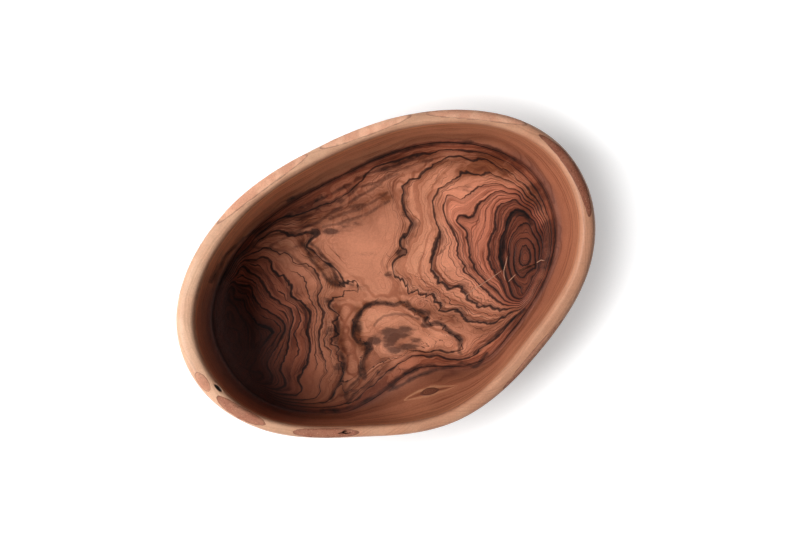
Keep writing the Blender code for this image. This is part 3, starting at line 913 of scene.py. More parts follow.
def stretched(tree, spot, scale):
    return add_node(tree, "ShaderNodeMapping", {"Vector": spot, "Scale": scale}).outputs[0]


def drawn_out(tree, spot, turn, length):
    """Coordinates in which a pattern is drawn out along one level direction."""
    feeds = {"Vector": spot, "Rotation": (0, 0, turn), "Scale": (length, 1, 1)}
    return add_node(tree, "ShaderNodeMapping", feeds, vector_type="TEXTURE").outputs[0]


def ramp(tree, value, stops):
    """A colour, or a grey where the stops are single numbers, picked by a value from 0 to 1."""
    made = add_node(tree, "ShaderNodeValToRGB", {"Fac": value})
    band = made.color_ramp
    while len(band.elements) < len(stops):
        band.elements.new(1)
    for element, (place, shade) in zip(band.elements, stops):
        element.position = place
        element.color = (*shade, 1) if isinstance(shade, tuple) else (shade, shade, shade, 1)
    return made.outputs["Color"]


def ranged(tree, value, low, high, to_low=0.0, to_high=1.0):
    """A value eased from one range into another, and held at the ends."""
    feeds = {0: value, 1: low, 2: high, 3: to_low, 4: to_high}
    return add_node(tree, "ShaderNodeMapRange", feeds, interpolation_type="SMOOTHSTEP").outputs[0]


def attribute(tree, name, socket="Fac"):
    return add_node(tree, "ShaderNodeAttribute", attribute_name=name).outputs[socket]


def object_spot(tree):
    return add_node(tree, "ShaderNodeTexCoord").outputs["Object"]


def new_finish(name):
    material = bpy.data.materials.new(name)
    material.use_nodes = True
    tree = material.node_tree
    return material, tree, tree.nodes["Principled BSDF"]


print("shader helpers ready")

# %% [markdown]
# ## Hand-oiled wood
# Sanded and oiled by hand, all the wood and bark here shares one surface: fine pores, a faint mottle of
# tone, and oil that has soaked in unevenly. Because several finishes need it, it is a node group with
# named sockets. Each finish places it with its own pore size and gloss.

# %% The hand-oiled group
def hand_oiled_group():
    group = bpy.data.node_groups.new("Hand Oiled", "ShaderNodeTree")
    sockets = group.interface
    sockets.new_socket("Spot", in_out="INPUT", socket_type="NodeSocketVector")
    for name in ("Pore Scale", "Dull", "Uneven"):
        sockets.new_socket(name, in_out="INPUT", socket_type="NodeSocketFloat")
    for name in ("Tone", "Roughness", "Height"):
        sockets.new_socket(name, in_out="OUTPUT", socket_type="NodeSocketFloat")
    feed = group.nodes.new("NodeGroupInput").outputs
    pores = cloud(group, feed["Spot"], feed["Pore Scale"], 3, 0.65)
    mottle = cloud(group, feed["Spot"], 60, 3)
    fine_tone = ranged(group, pores, 0.3, 0.7, 0.93, 1.07)
    broad_tone = ranged(group, mottle, 0.3, 0.7, 0.94, 1.06)
    soaked = ranged(group, cloud(group, feed["Spot"], 28, 2), 0.3, 0.7, -1, 1)
    rough = sums(group, "MULTIPLY_ADD", soaked, feed["Uneven"], feed["Dull"])
    pore_rough = ranged(group, pores, 0.3, 0.7, 0.06, -0.04)
    result = group.nodes.new("NodeGroupOutput")
    group.links.new(times(group, fine_tone, broad_tone), result.inputs["Tone"])
    group.links.new(sums(group, "ADD", rough, pore_rough, clamp=True), result.inputs["Roughness"])
    group.links.new(sums(group, "MULTIPLY_ADD", mottle, 0.6, pores), result.inputs["Height"])
    return group


HAND_OILED = hand_oiled_group()


def hand_oiled(tree, spot, pore_scale, dull, uneven):
    feeds = {"Spot": spot, "Pore Scale": pore_scale, "Dull": dull, "Uneven": uneven}
    return add_node(tree, "ShaderNodeGroup", feeds, node_tree=HAND_OILED).outputs


def toned(tree, colour, tone):
    """A colour made lighter or darker by a value near 1."""
    grey = add_node(tree, "ShaderNodeCombineColor", {0: tone, 1: tone, 2: tone}).outputs[0]
    return mixed(tree, 1.0, colour, grey, "MULTIPLY")


def oil_over(tree, shader, spot, colour, relief, gloss, marks=(), **oil_values):
    """Oils a finish. The marks are a mask and how much it adds to the height of the pores."""
    oil = hand_oiled(tree, spot, **oil_values)
    height = sums(tree, "MULTIPLY_ADD", *marks, oil["Height"]) if marks else oil["Height"]
    bump = add_node(tree, "ShaderNodeBump", {"Height": height, "Distance": relief, "Strength": 1.0})
    tree.links.new(toned(tree, colour, oil["Tone"]), shader.inputs["Base Color"])
    tree.links.new(oil["Roughness"], shader.inputs["Roughness"])
    tree.links.new(bump.outputs[0], shader.inputs["Normal"])
    shader.inputs["Specular IOR Level"].default_value = gloss
    return oil


print("group", HAND_OILED.name, "with", len(HAND_OILED.nodes), "nodes")

# %% [markdown]
# ## The figure of the wood
# The finish reads the age of each point. Noise pushes the age to and fro by a few millimetres' worth,
# less where the rings crowd, which makes the lines ragged. At each whole age lies a dark line, and here
# and there a thin strand runs beside it. The years between differ too, so noise along the age alone gives
# fine lines that run beside the dark ones and bend with them.

# %% Ragged growth lines
LINE_HALF_WIDTH = 0.8 * MM
LEAST_HALF_WIDTH = 0.01 * MM
LINE_ROOM = 0.17
STRAND_GAP = 2.1 * MM
STRAND_ROOM = 0.45
STRAND_HALF_WIDTH = 0.42 * MM
TEETH = 12 * MM
TEETH_SCALE = 125
TEETH_EASE = 150.0
WANDER = 5 * MM
WANDER_SCALE = 75


def eased_pace(tree, pace_here):
    """How many rings a push of one metre moves, held back where the rings crowd."""
    crowding = sums(tree, "POWER", sums(tree, "DIVIDE", pace_here, TEETH_EASE), 2.0)
    return sums(tree, "DIVIDE", pace_here, sums(tree, "ADD", crowding, 1.0))


def pushed_age(tree, spot, scale, reach, age_here, pace_here):
    """The age after smooth noise has pushed it to and fro by up to about half a reach."""
    push = both_ways(tree, cloud(tree, spot, scale, 2, 0.5), reach)
    return sums(tree, "MULTIPLY_ADD", push, eased_pace(tree, pace_here), age_here)


def ragged_age(tree, spot, age_here, pace_here):
    """The age after noise has pushed it to and fro, most of it noise that runs along the lines."""
    push = both_ways(tree, cloud(tree, spot, WANDER_SCALE, 3, 0.6), WANDER)
    older = ranged(tree, age_here, 5.0, 9.0, 0.35, 1.5)
    older = times(tree, older, ranged(tree, age_here, 9.3, 10.1, 1.0, 0.25))
    for name in HEART_NAMES:
        teeth = cloud(tree, attribute(tree, "track_" + name, "Vector"), TEETH_SCALE, 2, 0.5)
        teeth = times(tree, both_ways(tree, teeth, TEETH), older)
        push = sums(tree, "MULTIPLY_ADD", teeth, attribute(tree, "near_" + name), push)
    return sums(tree, "MULTIPLY_ADD", push, eased_pace(tree, pace_here), age_here)


def years(tree, ring, rate, detail=2.0, roughness=0.5):
    """Noise along the age alone, so that it runs beside the growth lines."""
    feeds = {"W": ring, "Scale": rate, "Detail": detail, "Roughness": roughness}
    return add_node(tree, "ShaderNodeTexNoise", feeds, noise_dimensions="1D").outputs["Fac"]


def year_line(tree, ring, rate, half_width):
    """A thin line wherever the years' noise crosses its middle value."""
    apart = sums(tree, "ABSOLUTE", sums(tree, "SUBTRACT", years(tree, ring, rate, 1), 0.5))
    return ranged(tree, apart, 0.3 * half_width, half_width, 1.0, 0.0)


def main_line(tree, apart, strength, pace_here):
    """A dark line, as wide as its strength says, but no wider than its share of a ring."""
    half = times(tree, strength, LINE_HALF_WIDTH)
    half = sums(tree, "MINIMUM", half, sums(tree, "DIVIDE", LINE_ROOM, pace_here))
    half = sums(tree, "MAXIMUM", half, LEAST_HALF_WIDTH)
    return ranged(tree, sums(tree, "DIVIDE", apart, half), 0.55, 1.5, 1.0, 0.0)


def strand_gap(tree, spot, pace_here):
    """How far the strand beside a dark line lies from it, nearer here and further there."""
    gap = ranged(tree, cloud(tree, spot, 36, 2), 0.3, 0.7, 0.4 * STRAND_GAP, 2.2 * STRAND_GAP)
    return sums(tree, "MINIMUM", gap, sums(tree, "DIVIDE", STRAND_ROOM, pace_here))


def strand_line(tree, past_strand):
    off = sums(tree, "ABSOLUTE", past_strand)
    return ranged(tree, off, 0.3 * STRAND_HALF_WIDTH, STRAND_HALF_WIDTH, 1.0, 0.0)


print("growth lines of", 2 * LINE_HALF_WIDTH / MM, "mm")

# %% [markdown]
# ## Marks that follow no ring
# Three kinds of mark cross the rings: the smooth dark line where the wall turns into the floor, the
# listed strokes, and the smoky clouds. Each gets a share from 0 to 1 here, with noise that frays its
# edge, and the finish then darkens the wood by that share.

# %% Edge line, strokes and smoke
def edge_line_and_crease_shade(tree, spot):
    """The smooth dark line where the wall turns into the floor, partly a growth line and partly painted
    shade in the crease.
    """
    swing = both_ways(tree, cloud(tree, spot, 30, 2), 3.0)
    off = sums(tree, "ADD", attribute(tree, "past_edge"), swing)
    share = times(tree, ranged(tree, off, -2.0, -0.4), ranged(tree, off, 0.2, 2.4, 1.0, 0.0))
    return times(tree, share, ranged(tree, cloud(tree, spot, 16, 1), 0.40, 0.62, 0.0, 0.45))


def stroke_shares(tree, spot):
    """The listed strokes: a ragged brown zone, and a dark core within it."""
    swing = both_ways(tree, cloud(tree, spot, 120, 3, 0.55), 7.0)
    off = sums(tree, "MULTIPLY_ADD", swing, attribute(tree, "stroke_rough"), attribute(tree, "stroke"))
    dark = attribute(tree, "stroke_dark")
    zone = times(tree, ranged(tree, off, -0.2, 0.9, 1.0, 0.0), dark)
    broken = ranged(tree, cloud(tree, spot, 170, 3, 0.6), 0.36, 0.58, 0.3, 1.0)
    core = times(tree, ranged(tree, off, -1.0, -0.2, 1.0, 0.0), broken)
    return zone, times(tree, core, dark)


def smoke_share(tree, spot):
    """Brown clouds with feathered edges."""
    feathers = cloud(tree, drawn_out(tree, spot, -VIEW_TURN, 2.6), 260, 4, 0.65)
    smoke_here = attribute(tree, "smoke")
    room = ranged(tree, smoke_here, 0.05, 0.3, 0.0, 1.5)
    swing = times(tree, sums(tree, "SUBTRACT", feathers, 0.5), room)
    return ranged(tree, sums(tree, "ADD", smoke_here, swing), 0.15, 0.75, 0.0, 0.9)


print("marks read stroke, stroke_dark, stroke_rough, smoke and past_edge")

# %% [markdown]
# ## Heartwood
# The heartwood's tone goes with its age: dark at the hearts, palest from about the sixth ring to the
# ninth, and darker again towards the floor's edge. Over that lie soft bands: some follow the years, some
# flow between the hearts, and the wood is darker where the rings crowd and in the brown patches. Towards
# the left end it is darker too, partly as darker wood and partly as painted shade from the left wall. A
# multiplied tint keeps the wood's own variation, which a plain mix would wash out.

# %% Heartwood and its soft bands
HEART_TONES = (
    (0.0, (0.20, 0.056, 0.029)), (0.25, (0.23, 0.066, 0.035)), (0.31, (0.54, 0.178, 0.101)),
    (0.40, (0.74, 0.272, 0.160)), (0.47, (0.74, 0.300, 0.176)), (0.54, (0.69, 0.292, 0.169)),
    (0.60, (0.56, 0.220, 0.125)), (0.63, (0.46, 0.156, 0.083)), (0.6875, (0.34, 0.106, 0.056)),
    (0.75, (0.36, 0.128, 0.072)), (1.0, (0.42, 0.160, 0.092)),
)
BAND_SHADE = (0.58, 0.48, 0.44)
FLOW_SHADE = (0.58, 0.46, 0.41)
BROWN_SHADE = (0.36, 0.27, 0.20)
CROWDED_SHADE = (0.60, 0.46, 0.40)
# Tint of the left end's darkening, partly darker wood and partly painted shade.
PAINTED_SHADE_TINT = (0.43, 0.34, 0.30)
OLDEST = 16.0
CROWDED_PACE = 230.0
FLOW_SWING = 2.2


def flow_bands(tree, spot):
    """Soft bands and fine lines that flow between the hearts and round the whorl, not over plain wood."""
    age_here = attribute(tree, "age")
    ring = sums(tree, "MULTIPLY_ADD", cloud(tree, spot, 30, 3, 0.55), FLOW_SWING, age_here)
    broad = ranged(tree, years(tree, ring, 3.0, 3, 0.62), 0.44, 0.62, 0.0, 0.9)
    fine = times(tree, year_line(tree, ring, 3.5, 0.03), 0.7)
    figured = sums(tree, "SUBTRACT", 1.0, attribute(tree, "plain"))
    figured = times(tree, figured, ranged(tree, age_here, 7.8, 8.6, 0.25, 1.0))
    return times(tree, sums(tree, "MAXIMUM", broad, fine), figured)


def floor_base(tree, spot, ring, pace_here, vein_here):
    """Heartwood, darker in some years, where rings crowd, in brown spots, and at the left end, partly as
    painted shade.
    """
    colour = ramp(tree, sums(tree, "DIVIDE", ring, OLDEST), HEART_TONES)
    bands = ranged(tree, years(tree, ring, 2.3, 2, 0.6), 0.5, 0.68, 0.0, 0.6)
    mottle = ranged(tree, cloud(tree, spot, 24, 3), 0.42, 0.62, 0.0, 0.3)
    bands = times(tree, sums(tree, "MAXIMUM", bands, mottle), vein_here, clamp=True)
    colour = shaded(tree, bands, colour, BAND_SHADE)
    colour = shaded(tree, flow_bands(tree, spot), colour, FLOW_SHADE)
    crowded = ranged(tree, pace_here, 0.6 * CROWDED_PACE, 2.0 * CROWDED_PACE, 0.0, 0.8)
    colour = shaded(tree, crowded, colour, CROWDED_SHADE)
    patchy = ranged(tree, cloud(tree, drawn_out(tree, spot, 0, 2.6), 90, 4, 0.6), 0.36, 0.62, 0.4, 1.3)
    brown = times(tree, attribute(tree, "brown"), patchy, clamp=True)
    colour = shaded(tree, brown, colour, BROWN_SHADE)
    # Towards the left end: partly darker wood and partly painted shade from the left wall.
    return shaded(tree, attribute(tree, "painted_shade_and_dark_wood"), colour, PAINTED_SHADE_TINT)


print("heartwood from", len(HEART_TONES), "tones")

# %% [markdown]
# ## Lines on the floor
# Four kinds of line lie over the heartwood: the dark line at each whole age, a lesser one half-way
# between, four thin ones to each ring, and fine reddish ones that wander. A dark line's inner side is
# smoky, out to the strand that runs beside it. Noise makes each kind come and go, because no line runs
# all the way round.

# %% Lines over the heartwood
SMOKE_SHADE = (0.36, 0.36, 0.39)
THIN_SHADE = (0.40, 0.30, 0.27)
LINE_SHADE = (0.17, 0.165, 0.180)
# The painted shadow's dark brown, which lies over the far left end.
PAINTED_SHADOW_BROWN = (0.160, 0.086, 0.078)
THIN_WANDER = 7 * MM
LINES_TO_A_RING = 4.0


def thin_lines(tree, spot, pace_here):
    """Fine reddish lines between the dark ones, which wander, come and go."""
    ring = pushed_age(tree, spot, 65, THIN_WANDER, attribute(tree, "age"), pace_here)
    here = ranged(tree, cloud(tree, spot, 40, 2), 0.40, 0.6, 0.0, 1.0)
    bold = year_line(tree, ring, 1.9, 0.025)
    faint = times(tree, year_line(tree, ring, 4.5, 0.04), 0.6)
    return times(tree, sums(tree, "MAXIMUM", bold, faint), here)


def from_whole(tree, ring, pace_here):
    """The distance in metres from the nearest whole age."""
    return sums(tree, "DIVIDE", sums(tree, "PINGPONG", ring, 0.5), pace_here)


def quarter_lines(tree, spot, ring, pace_here, vein_here):
    """Four thin lines to a ring, which come and go."""
    quick_pace = times(tree, pace_here, LINES_TO_A_RING)
    apart = from_whole(tree, times(tree, ring, LINES_TO_A_RING), quick_pace)
    here = ranged(tree, cloud(tree, spot, 38, 2), 0.46, 0.60, 0.0, 0.36)
    line = main_line(tree, apart, times(tree, vein_here, here), quick_pace)
    return times(tree, line, 0.55)


def lesser_lines(tree, spot, ring, pace_here, vein_here):
    """Lines half-way between the dark ones, bolder towards the left end, where the painted shade lies."""
    half_way = from_whole(tree, sums(tree, "ADD", ring, 0.5), pace_here)
    here = ranged(tree, cloud(tree, spot, 33, 2), 0.42, 0.64, 0.0, 0.7)
    in_painted_shade = ranged(tree, attribute(tree, "painted_shade_and_dark_wood"), 0.0, 0.6, 0.4, 1.0)
    return main_line(tree, half_way, times(tree, vein_here, here, in_painted_shade), pace_here)


def paired_share(tree, spot, ring, vein_here):
    """How much of a strand and its smoke lies here, on the inner side of a dark line."""
    inner_side = sums(tree, "GREATER_THAN", sums(tree, "FRACT", ring), 0.5)
    paired = ranged(tree, cloud(tree, spot, 30, 2), 0.40, 0.54, 0.0, 0.95)
    return times(tree, paired, inner_side, vein_here, clamp=True)


def floor_colour(tree, spot, ring, pace_here, vein_here):
    """Heartwood with its bands, fine lines, smoke and dark lines, and how dark a line is at each point."""
    colour = floor_base(tree, spot, ring, pace_here, vein_here)
    thin = times(tree, thin_lines(tree, spot, pace_here), vein_here, clamp=True)
    roomy = ranged(tree, pace_here, CROWDED_PACE, 2.2 * CROWDED_PACE, 1.0, 0.2)
    colour = shaded(tree, times(tree, thin, roomy), colour, THIN_SHADE)

    apart = from_whole(tree, ring, pace_here)
    gap = strand_gap(tree, spot, pace_here)
    paired = paired_share(tree, spot, ring, vein_here)
    fading = ranged(tree, sums(tree, "DIVIDE", apart, gap), 0.1, 1.05, 1.0, 0.0)
    smoke_here = smoke_share(tree, spot)
    brown = sums(tree, "MAXIMUM", times(tree, fading, paired), smoke_here)
    colour = shaded(tree, brown, colour, SMOKE_SHADE)
    thick = ranged(tree, smoke_here, 0.45, 0.9, 0.0, 0.5)
    colour = shaded(tree, thick, colour, SMOKE_SHADE)

    sparse = ranged(tree, pace_here, 0.5 * CROWDED_PACE, 1.1 * CROWDED_PACE, 1.0, 0.1)
    strand = strand_line(tree, sums(tree, "SUBTRACT", apart, gap))
    strand = times(tree, strand, paired, sparse, 0.7)
    bold = ranged(tree, cloud(tree, spot, 45, 2), 0.3, 0.65, 0.3, 1.3)
    line = main_line(tree, apart, times(tree, vein_here, bold), pace_here)
    lesser = times(tree, lesser_lines(tree, spot, ring, pace_here, vein_here), sparse)
    for other in (lesser, strand, quarter_lines(tree, spot, ring, pace_here, vein_here)):
        line = sums(tree, "MAXIMUM", line, other)
    colour = shaded(tree, line, colour, LINE_SHADE)
    # A painted shadow of nearly one dark brown covers the far left end of the floor.
    return mixed(tree, attribute(tree, "painted_shadow_veil"), colour, PAINTED_SHADOW_BROWN), line


print("dark lines", LINE_SHADE, "times the wood's own colour")

# %% [markdown]
# ## Wall and rim
# Up the wall the knife cut along the grain, so it shows long streaks, and it grows paler towards the rim.
# The rim and the shoulder are sapwood, the pale young wood under the bark. Both have streaks that run
# round the bowl, made by noise along a height or an inset that wanders a little.

# %% Wall and sapwood
WALL_TONES = (
    (0.0, (0.24, 0.078, 0.040)), (0.16, (0.38, 0.134, 0.070)), (0.6, (0.53, 0.206, 0.108)),
    (0.9, (0.60, 0.256, 0.138)), (1.0, (0.66, 0.318, 0.180)),
)
PAINTED_LIGHT_TINT = (2.0, 2.65, 2.8)
STREAK_SHADE = (0.54, 0.45, 0.41)
SAPWOOD = (0.73, 0.445, 0.29)
SAPWOOD_WARM = (0.60, 0.290, 0.175)


def wall_colour(tree, spot):
    """The hollow's wall: paler towards the rim, streaked along it, with painted light and painted shadow.
    """
    rise_here = attribute(tree, "rise")
    colour = ramp(tree, rise_here, WALL_TONES)
    # Painted light: the side of the wall that faces away from the lamp is made paler.
    colour = shaded(tree, attribute(tree, "wall_painted_light"), colour, PAINTED_LIGHT_TINT)
    drift = sums(tree, "MULTIPLY_ADD", cloud(tree, spot, 14, 3), 0.6, rise_here)
    streaks = ranged(tree, years(tree, drift, 11.0, 4, 0.68), 0.47, 0.64, 0.0, 0.9)
    broken = ranged(tree, cloud(tree, spot, 26, 3), 0.38, 0.6, 0.15, 1.0)
    colour = shaded(tree, times(tree, streaks, broken), colour, STREAK_SHADE)
    broad = ranged(tree, years(tree, drift, 4.5, 2, 0.55), 0.44, 0.64, 0.0, 0.6)
    colour = shaded(tree, broad, colour, STREAK_SHADE)
    # Low on the wall at the left end, the same painted shadow.
    low = sums(tree, "SUBTRACT", 1.0, rise_here)
    return mixed(tree, times(tree, attribute(tree, "painted_shadow_veil"), low), colour, PAINTED_SHADOW_BROWN)


def sapwood(tree, spot):
    """Pale wood under the bark, warmer on some sides of the bowl, with streaks along the rim."""
    swing = both_ways(tree, cloud(tree, stretched(tree, spot, (1, 1, 0.25)), 55, 3), 1.2)
    warm = sums(tree, "ADD", attribute(tree, "sap_warm"), swing, clamp=True)
    colour = mixed(tree, warm, SAPWOOD, SAPWOOD_WARM)
    along = sums(tree, "MULTIPLY_ADD", attribute(tree, "past_edge"), 0.05, cloud(tree, spot, 16, 2))
    streaks = ranged(tree, years(tree, along, 14.0, 3, 0.6), 0.46, 0.66, 0.0, 0.3)
    return shaded(tree, streaks, colour, STREAK_SHADE)


print("wall from", len(WALL_TONES), "tones")

# %% [markdown]
# ## Olive wood, put together
# The floor comes first, then the wall, the strokes and the sapwood over it, and last the knot's halo and
# the pocket's inside, painted nearly black as shade. The oil goes over all of it, a little duller on the
# wall, and the dark lines lie a touch deeper than the wood between them.

# %% Olive wood
HALO_PALE = (0.60, 0.285, 0.150)
# The pocket's inside, painted nearly black as shade.
POCKET_PAINTED_SHADE = (0.02, 0.009, 0.006)
WALL_DULLER = 0.18


def with_halo(tree, spot, colour):
    """The knot's pale halo, ragged, with a dark line along its middle."""
    halo_here = attribute(tree, "halo")
    ragged = sums(tree, "MULTIPLY_ADD", cloud(tree, spot, 150, 3), 0.7, halo_here)
    ragged = sums(tree, "SUBTRACT", ragged, 0.35)
    pale = ranged(tree, ragged, 0.7, 1.1, 1.0, 0.0)
    pale = times(tree, ranged(tree, ragged, 0.3, 0.55), pale)
    colour = mixed(tree, times(tree, pale, 0.6), colour, HALO_PALE)
    colour = shaded(tree, ranged(tree, ragged, 0.1, 0.4, 0.6, 0.0), colour, STREAK_SHADE)
    return shaded(tree, ranged(tree, halo_here, 0.06, 0.18, 0.8, 0.0), colour, LINE_SHADE)


def olive_wood():
    material, tree, shader = new_finish("olive_wood_figure")
    spot = object_spot(tree)
    pace_here = attribute(tree, "pace")
    ring = ragged_age(tree, spot, attribute(tree, "age"), pace_here)
    colour, line = floor_colour(tree, spot, ring, pace_here, attribute(tree, "vein"))
    wall_here = attribute(tree, "wall")
    colour = mixed(tree, wall_here, colour, wall_colour(tree, spot))
    zone, core = stroke_shares(tree, spot)
    colour = shaded(tree, zone, colour, SMOKE_SHADE)
    # The edge line is partly painted shade in the crease, and the strokes' dark cores lie with it.
    edge = sums(tree, "MAXIMUM", edge_line_and_crease_shade(tree, spot), core)
    colour = shaded(tree, edge, colour, LINE_SHADE)
    sap_edge = both_ways(tree, cloud(tree, spot, 40, 3), 0.9)
    sap_here = ranged(tree, sums(tree, "ADD", attribute(tree, "sap"), sap_edge), 0.35, 0.65)
    colour = mixed(tree, sap_here, colour, sapwood(tree, spot))
    colour = with_halo(tree, spot, colour)
    # Painted shade: the pocket's inside is made nearly black.
    in_pocket = ranged(tree, attribute(tree, "pocket"), 0.75, 1.15, 1.0, 0.0)
    colour = mixed(tree, in_pocket, colour, POCKET_PAINTED_SHADE)
    marks = (sums(tree, "MAXIMUM", line, edge), -0.5)
    oil = oil_over(tree, shader, spot, colour, relief=0.1 * MM, gloss=0.24, marks=marks,
                   pore_scale=900.0, dull=0.38, uneven=0.05)
    rough = sums(tree, "MULTIPLY_ADD", wall_here, WALL_DULLER, oil["Roughness"])
    tree.links.new(rough, shader.inputs["Roughness"])
    return material


OLIVE = olive_wood()
bowl.data.materials.append(OLIVE)
print("olive wood:", len(OLIVE.node_tree.nodes), "nodes")

# %% [markdown]
# ## Bark
# Where the trunk's surface dipped, the carver's blade passed over the bark and left it: eight reddish,
# stippled islands on the shoulder, each with a dark line round it. Each is a thin closed shell that
# follows the skin and swells a little, with lumps that break up its edge where it dips under the skin.

# %% Bark shells
BARK_WIDTH = 16 * MM
BARK_INSET = 4 * MM
# Name, middle and span in degrees, shares of the width and the inset, and how ruddy it is. That last
# value is partly painted shade: highest on the right end, which faces away from the lamp, and lowest on
# the upper islands, which are kept pale as painted light.
BARK_PATCHES = (
    ("bark_right_end", 6, 42, 0.60, 0.95, 1.0),
    ("bark_upper_right", 46, 34, 0.95, 0.30, 0.15),
    ("bark_upper_middle", 78, 28, 0.90, 0.30, 0.0),
    ("bark_upper_left", 109, 33, 0.95, 0.30, 0.14),
    ("bark_left_end", 181.5, 10, 0.60, 1.00, 0.48),
    ("bark_lower_left", 200, 23, 0.75, 1.20, 0.80),
    ("bark_lower_middle", 230, 23, 0.65, 0.80, 0.90),
    ("bark_lower_right", 297, 29, 0.60, 0.20, 0.65),
)
BARK_STANDOFF_SHARE = 0.5
BARK_WIDTH_ON_SKIN = math.sqrt(1 - BARK_STANDOFF_SHARE**2)
BARK_TIP_SHARE = 0.05
BARK_POINTED = 0.75
BARK_ALONG = 90
BARK_ACROSS = 24
BARK_SWELL = 0.26 * MM
BARK_SINK = 0.11 * MM
BARK_DEPTH = 1.3 * MM
# Height, size and seed of the coarse and the fine lumps.
BARK_LUMPS = ((0.05 * MM, 5 * MM, 0), (0.03 * MM, 1.6 * MM, 7))
SEED_STEP = 11.3


def lumps(points, size, seed):
    """Smooth noise from -1 to 1 at each point, with lumps of about this size."""
    flat = points.reshape(-1, 3) / size + seed
    return np.array([noise.noise(Vector(p)) for p in flat]).reshape(points.shape[:-1])


def point_outwards(piece, weld=0):
    """Turns all faces outwards, after welding points that lie nearer than this, if it isn't zero."""
    bm = bmesh.new()
    bm.from_mesh(piece.data)
    if weld:
        bmesh.ops.remove_doubles(bm, verts=bm.verts, dist=weld)
    bmesh.ops.recalc_face_normals(bm, faces=bm.faces)
    bm.to_mesh(piece.data)
    bm.free()


def closed_shell(name, top, bottom):
    """A piece between two grids of points that lie over each other."""
    rows, columns = top.shape[:2]
    index = np.arange(rows * columns).reshape(rows, columns)
    corners = [index[:-1, :-1], index[1:, :-1], index[1:, 1:], index[:-1, 1:]]
    quads = np.stack(corners, axis=-1).reshape(-1, 4)
    under = index.size
    border = np.concatenate([index[0, :-1], index[:-1, -1], index[-1, :0:-1], index[:0:-1, 0]])
    after = np.roll(border, -1)
    sides = np.stack([border, after, after + under, border + under], axis=-1)
    faces = np.concatenate([quads, quads[:, ::-1] + under, sides]).tolist()
    piece = add_mesh_piece(name, np.concatenate([top.reshape(-1, 3), bottom.reshape(-1, 3)]), faces)
    point_outwards(piece)
    return piece


def bark_grid(middle, span, width_share, inset_share):
    """Turns along an island of bark, and the distances along the section across it."""
    place = np.linspace(-1, 1, BARK_ALONG + 1)
    turn = (middle + place * span / 2) / 360
    insets, _, lengths = section_lengths(turn)
    shoulder = slice(belly_line, shoulder_line + 1)
    middles = np.array([np.interp(inset_share * BARK_INSET, insets[shoulder, k], lengths[shoulder, k])
                        for k in range(len(turn))])
    taper = BARK_TIP_SHARE + (1 - BARK_TIP_SHARE) * (1 - place**2) ** BARK_POINTED
    half_width = BARK_WIDTH_ON_SKIN * width_share * BARK_WIDTH / 2 * taper
    share = np.linspace(-1, 1, BARK_ACROSS + 1)
    return place, share, turn, middles[:, None] + half_width[:, None] * share


def bark_shell(name, seed, ruddy_and_painted_shade, *shape):
    place, share, turn, arc = bark_grid(*shape)
    skin = skin_sheet(turn, arc)
    facing = skin_facing(turn, arc)
    skin -= hand_waves(turn[:, None], skin[..., 2], 0)[..., None] * facing
    swell = (1 - np.abs(share) ** 3) * (1 - np.abs(place[:, None]) ** 6)
    border = BARK_SWELL * swell - BARK_SINK
    lift = border
    for height, size, own_seed in BARK_LUMPS:
        lift = lift + height * lumps(skin, size, seed + own_seed)
    lift = np.maximum(lift, -2 * BARK_SINK)
    top = skin + lift[..., None] * facing
    depth = 3 * BARK_SINK + BARK_DEPTH * (1 - share**2) * (1 - place[:, None] ** 2)
    piece = closed_shell(name, top, skin - depth[..., None] * facing)
    underside = np.full(lift.size, -1.0)
    store(piece, "lift", np.concatenate([lift.ravel() / MM, underside]))
    store(piece, "border", np.concatenate([border.ravel() / MM, underside]))
    store(piece, "ruddy_and_painted_shade", np.full(2 * lift.size, ruddy_and_painted_shade))
    return piece


bark_pieces = [bark_shell(name + "_remnant", SEED_STEP * k, ruddy_and_painted_shade, *shape)
               for k, (name, *shape, ruddy_and_painted_shade) in enumerate(BARK_PATCHES)]
print(len(bark_pieces), "islands of bark,", len(bark_pieces[0].data.polygons), "faces each")

# %% [markdown]
# ## Bark finish
# Inner bark is drier than the wood: a reddish tan, speckled with brown, and dark brown where it meets the
# wood. Some islands are ruddier than others, partly as painted shade: the right end, which faces away from
# the lamp, is darkest, and the upper islands are kept pale as painted light. The same hand-oiled group
# gives its pores, with a duller value. The grains of cork on it get a finish of their own, in the same
# two colours.

# %% Bark and cork finishes
BARK_TAN = (0.88, 0.49, 0.32)
BARK_RED = (0.78, 0.385, 0.245)
BARK_SPECK = (0.30, 0.115, 0.065)
RUDDY_AND_PAINTED_SHADE = (0.38, 0.25, 0.22)
BARK_EDGE = (0.15, 0.06, 0.035)


def bark_finish():
    material, tree, shader = new_finish("inner_bark")
    spot = object_spot(tree)
    colour = mixed(tree, ranged(tree, cloud(tree, spot, 130, 3), 0.38, 0.62), BARK_TAN, BARK_RED)
    ruddy_and_painted_shade = attribute(tree, "ruddy_and_painted_shade")
    specks = ranged(tree, cloud(tree, spot, 760, 2, 0.6), 0.55, 0.67)
    specks = times(tree, specks, sums(tree, "MULTIPLY_ADD", ruddy_and_painted_shade, 0.4, 0.12))
    colour = mixed(tree, specks, colour, BARK_SPECK)
    # Ruddier islands are darkened, partly as painted shade on the side away from the lamp.
    colour = shaded(tree, ruddy_and_painted_shade, colour, RUDDY_AND_PAINTED_SHADE)
    ragged = sums(tree, "MULTIPLY_ADD", cloud(tree, spot, 300, 3), 0.08, attribute(tree, "border"))
    colour = mixed(tree, ranged(tree, ragged, 0.05, 0.12, 0.6, 0.0), colour, BARK_EDGE)
    oil_over(tree, shader, spot, colour, relief=0.25 * MM, gloss=0.3, marks=(specks, -0.8),
             pore_scale=1300.0, dull=0.66, uneven=0.08)
    return material


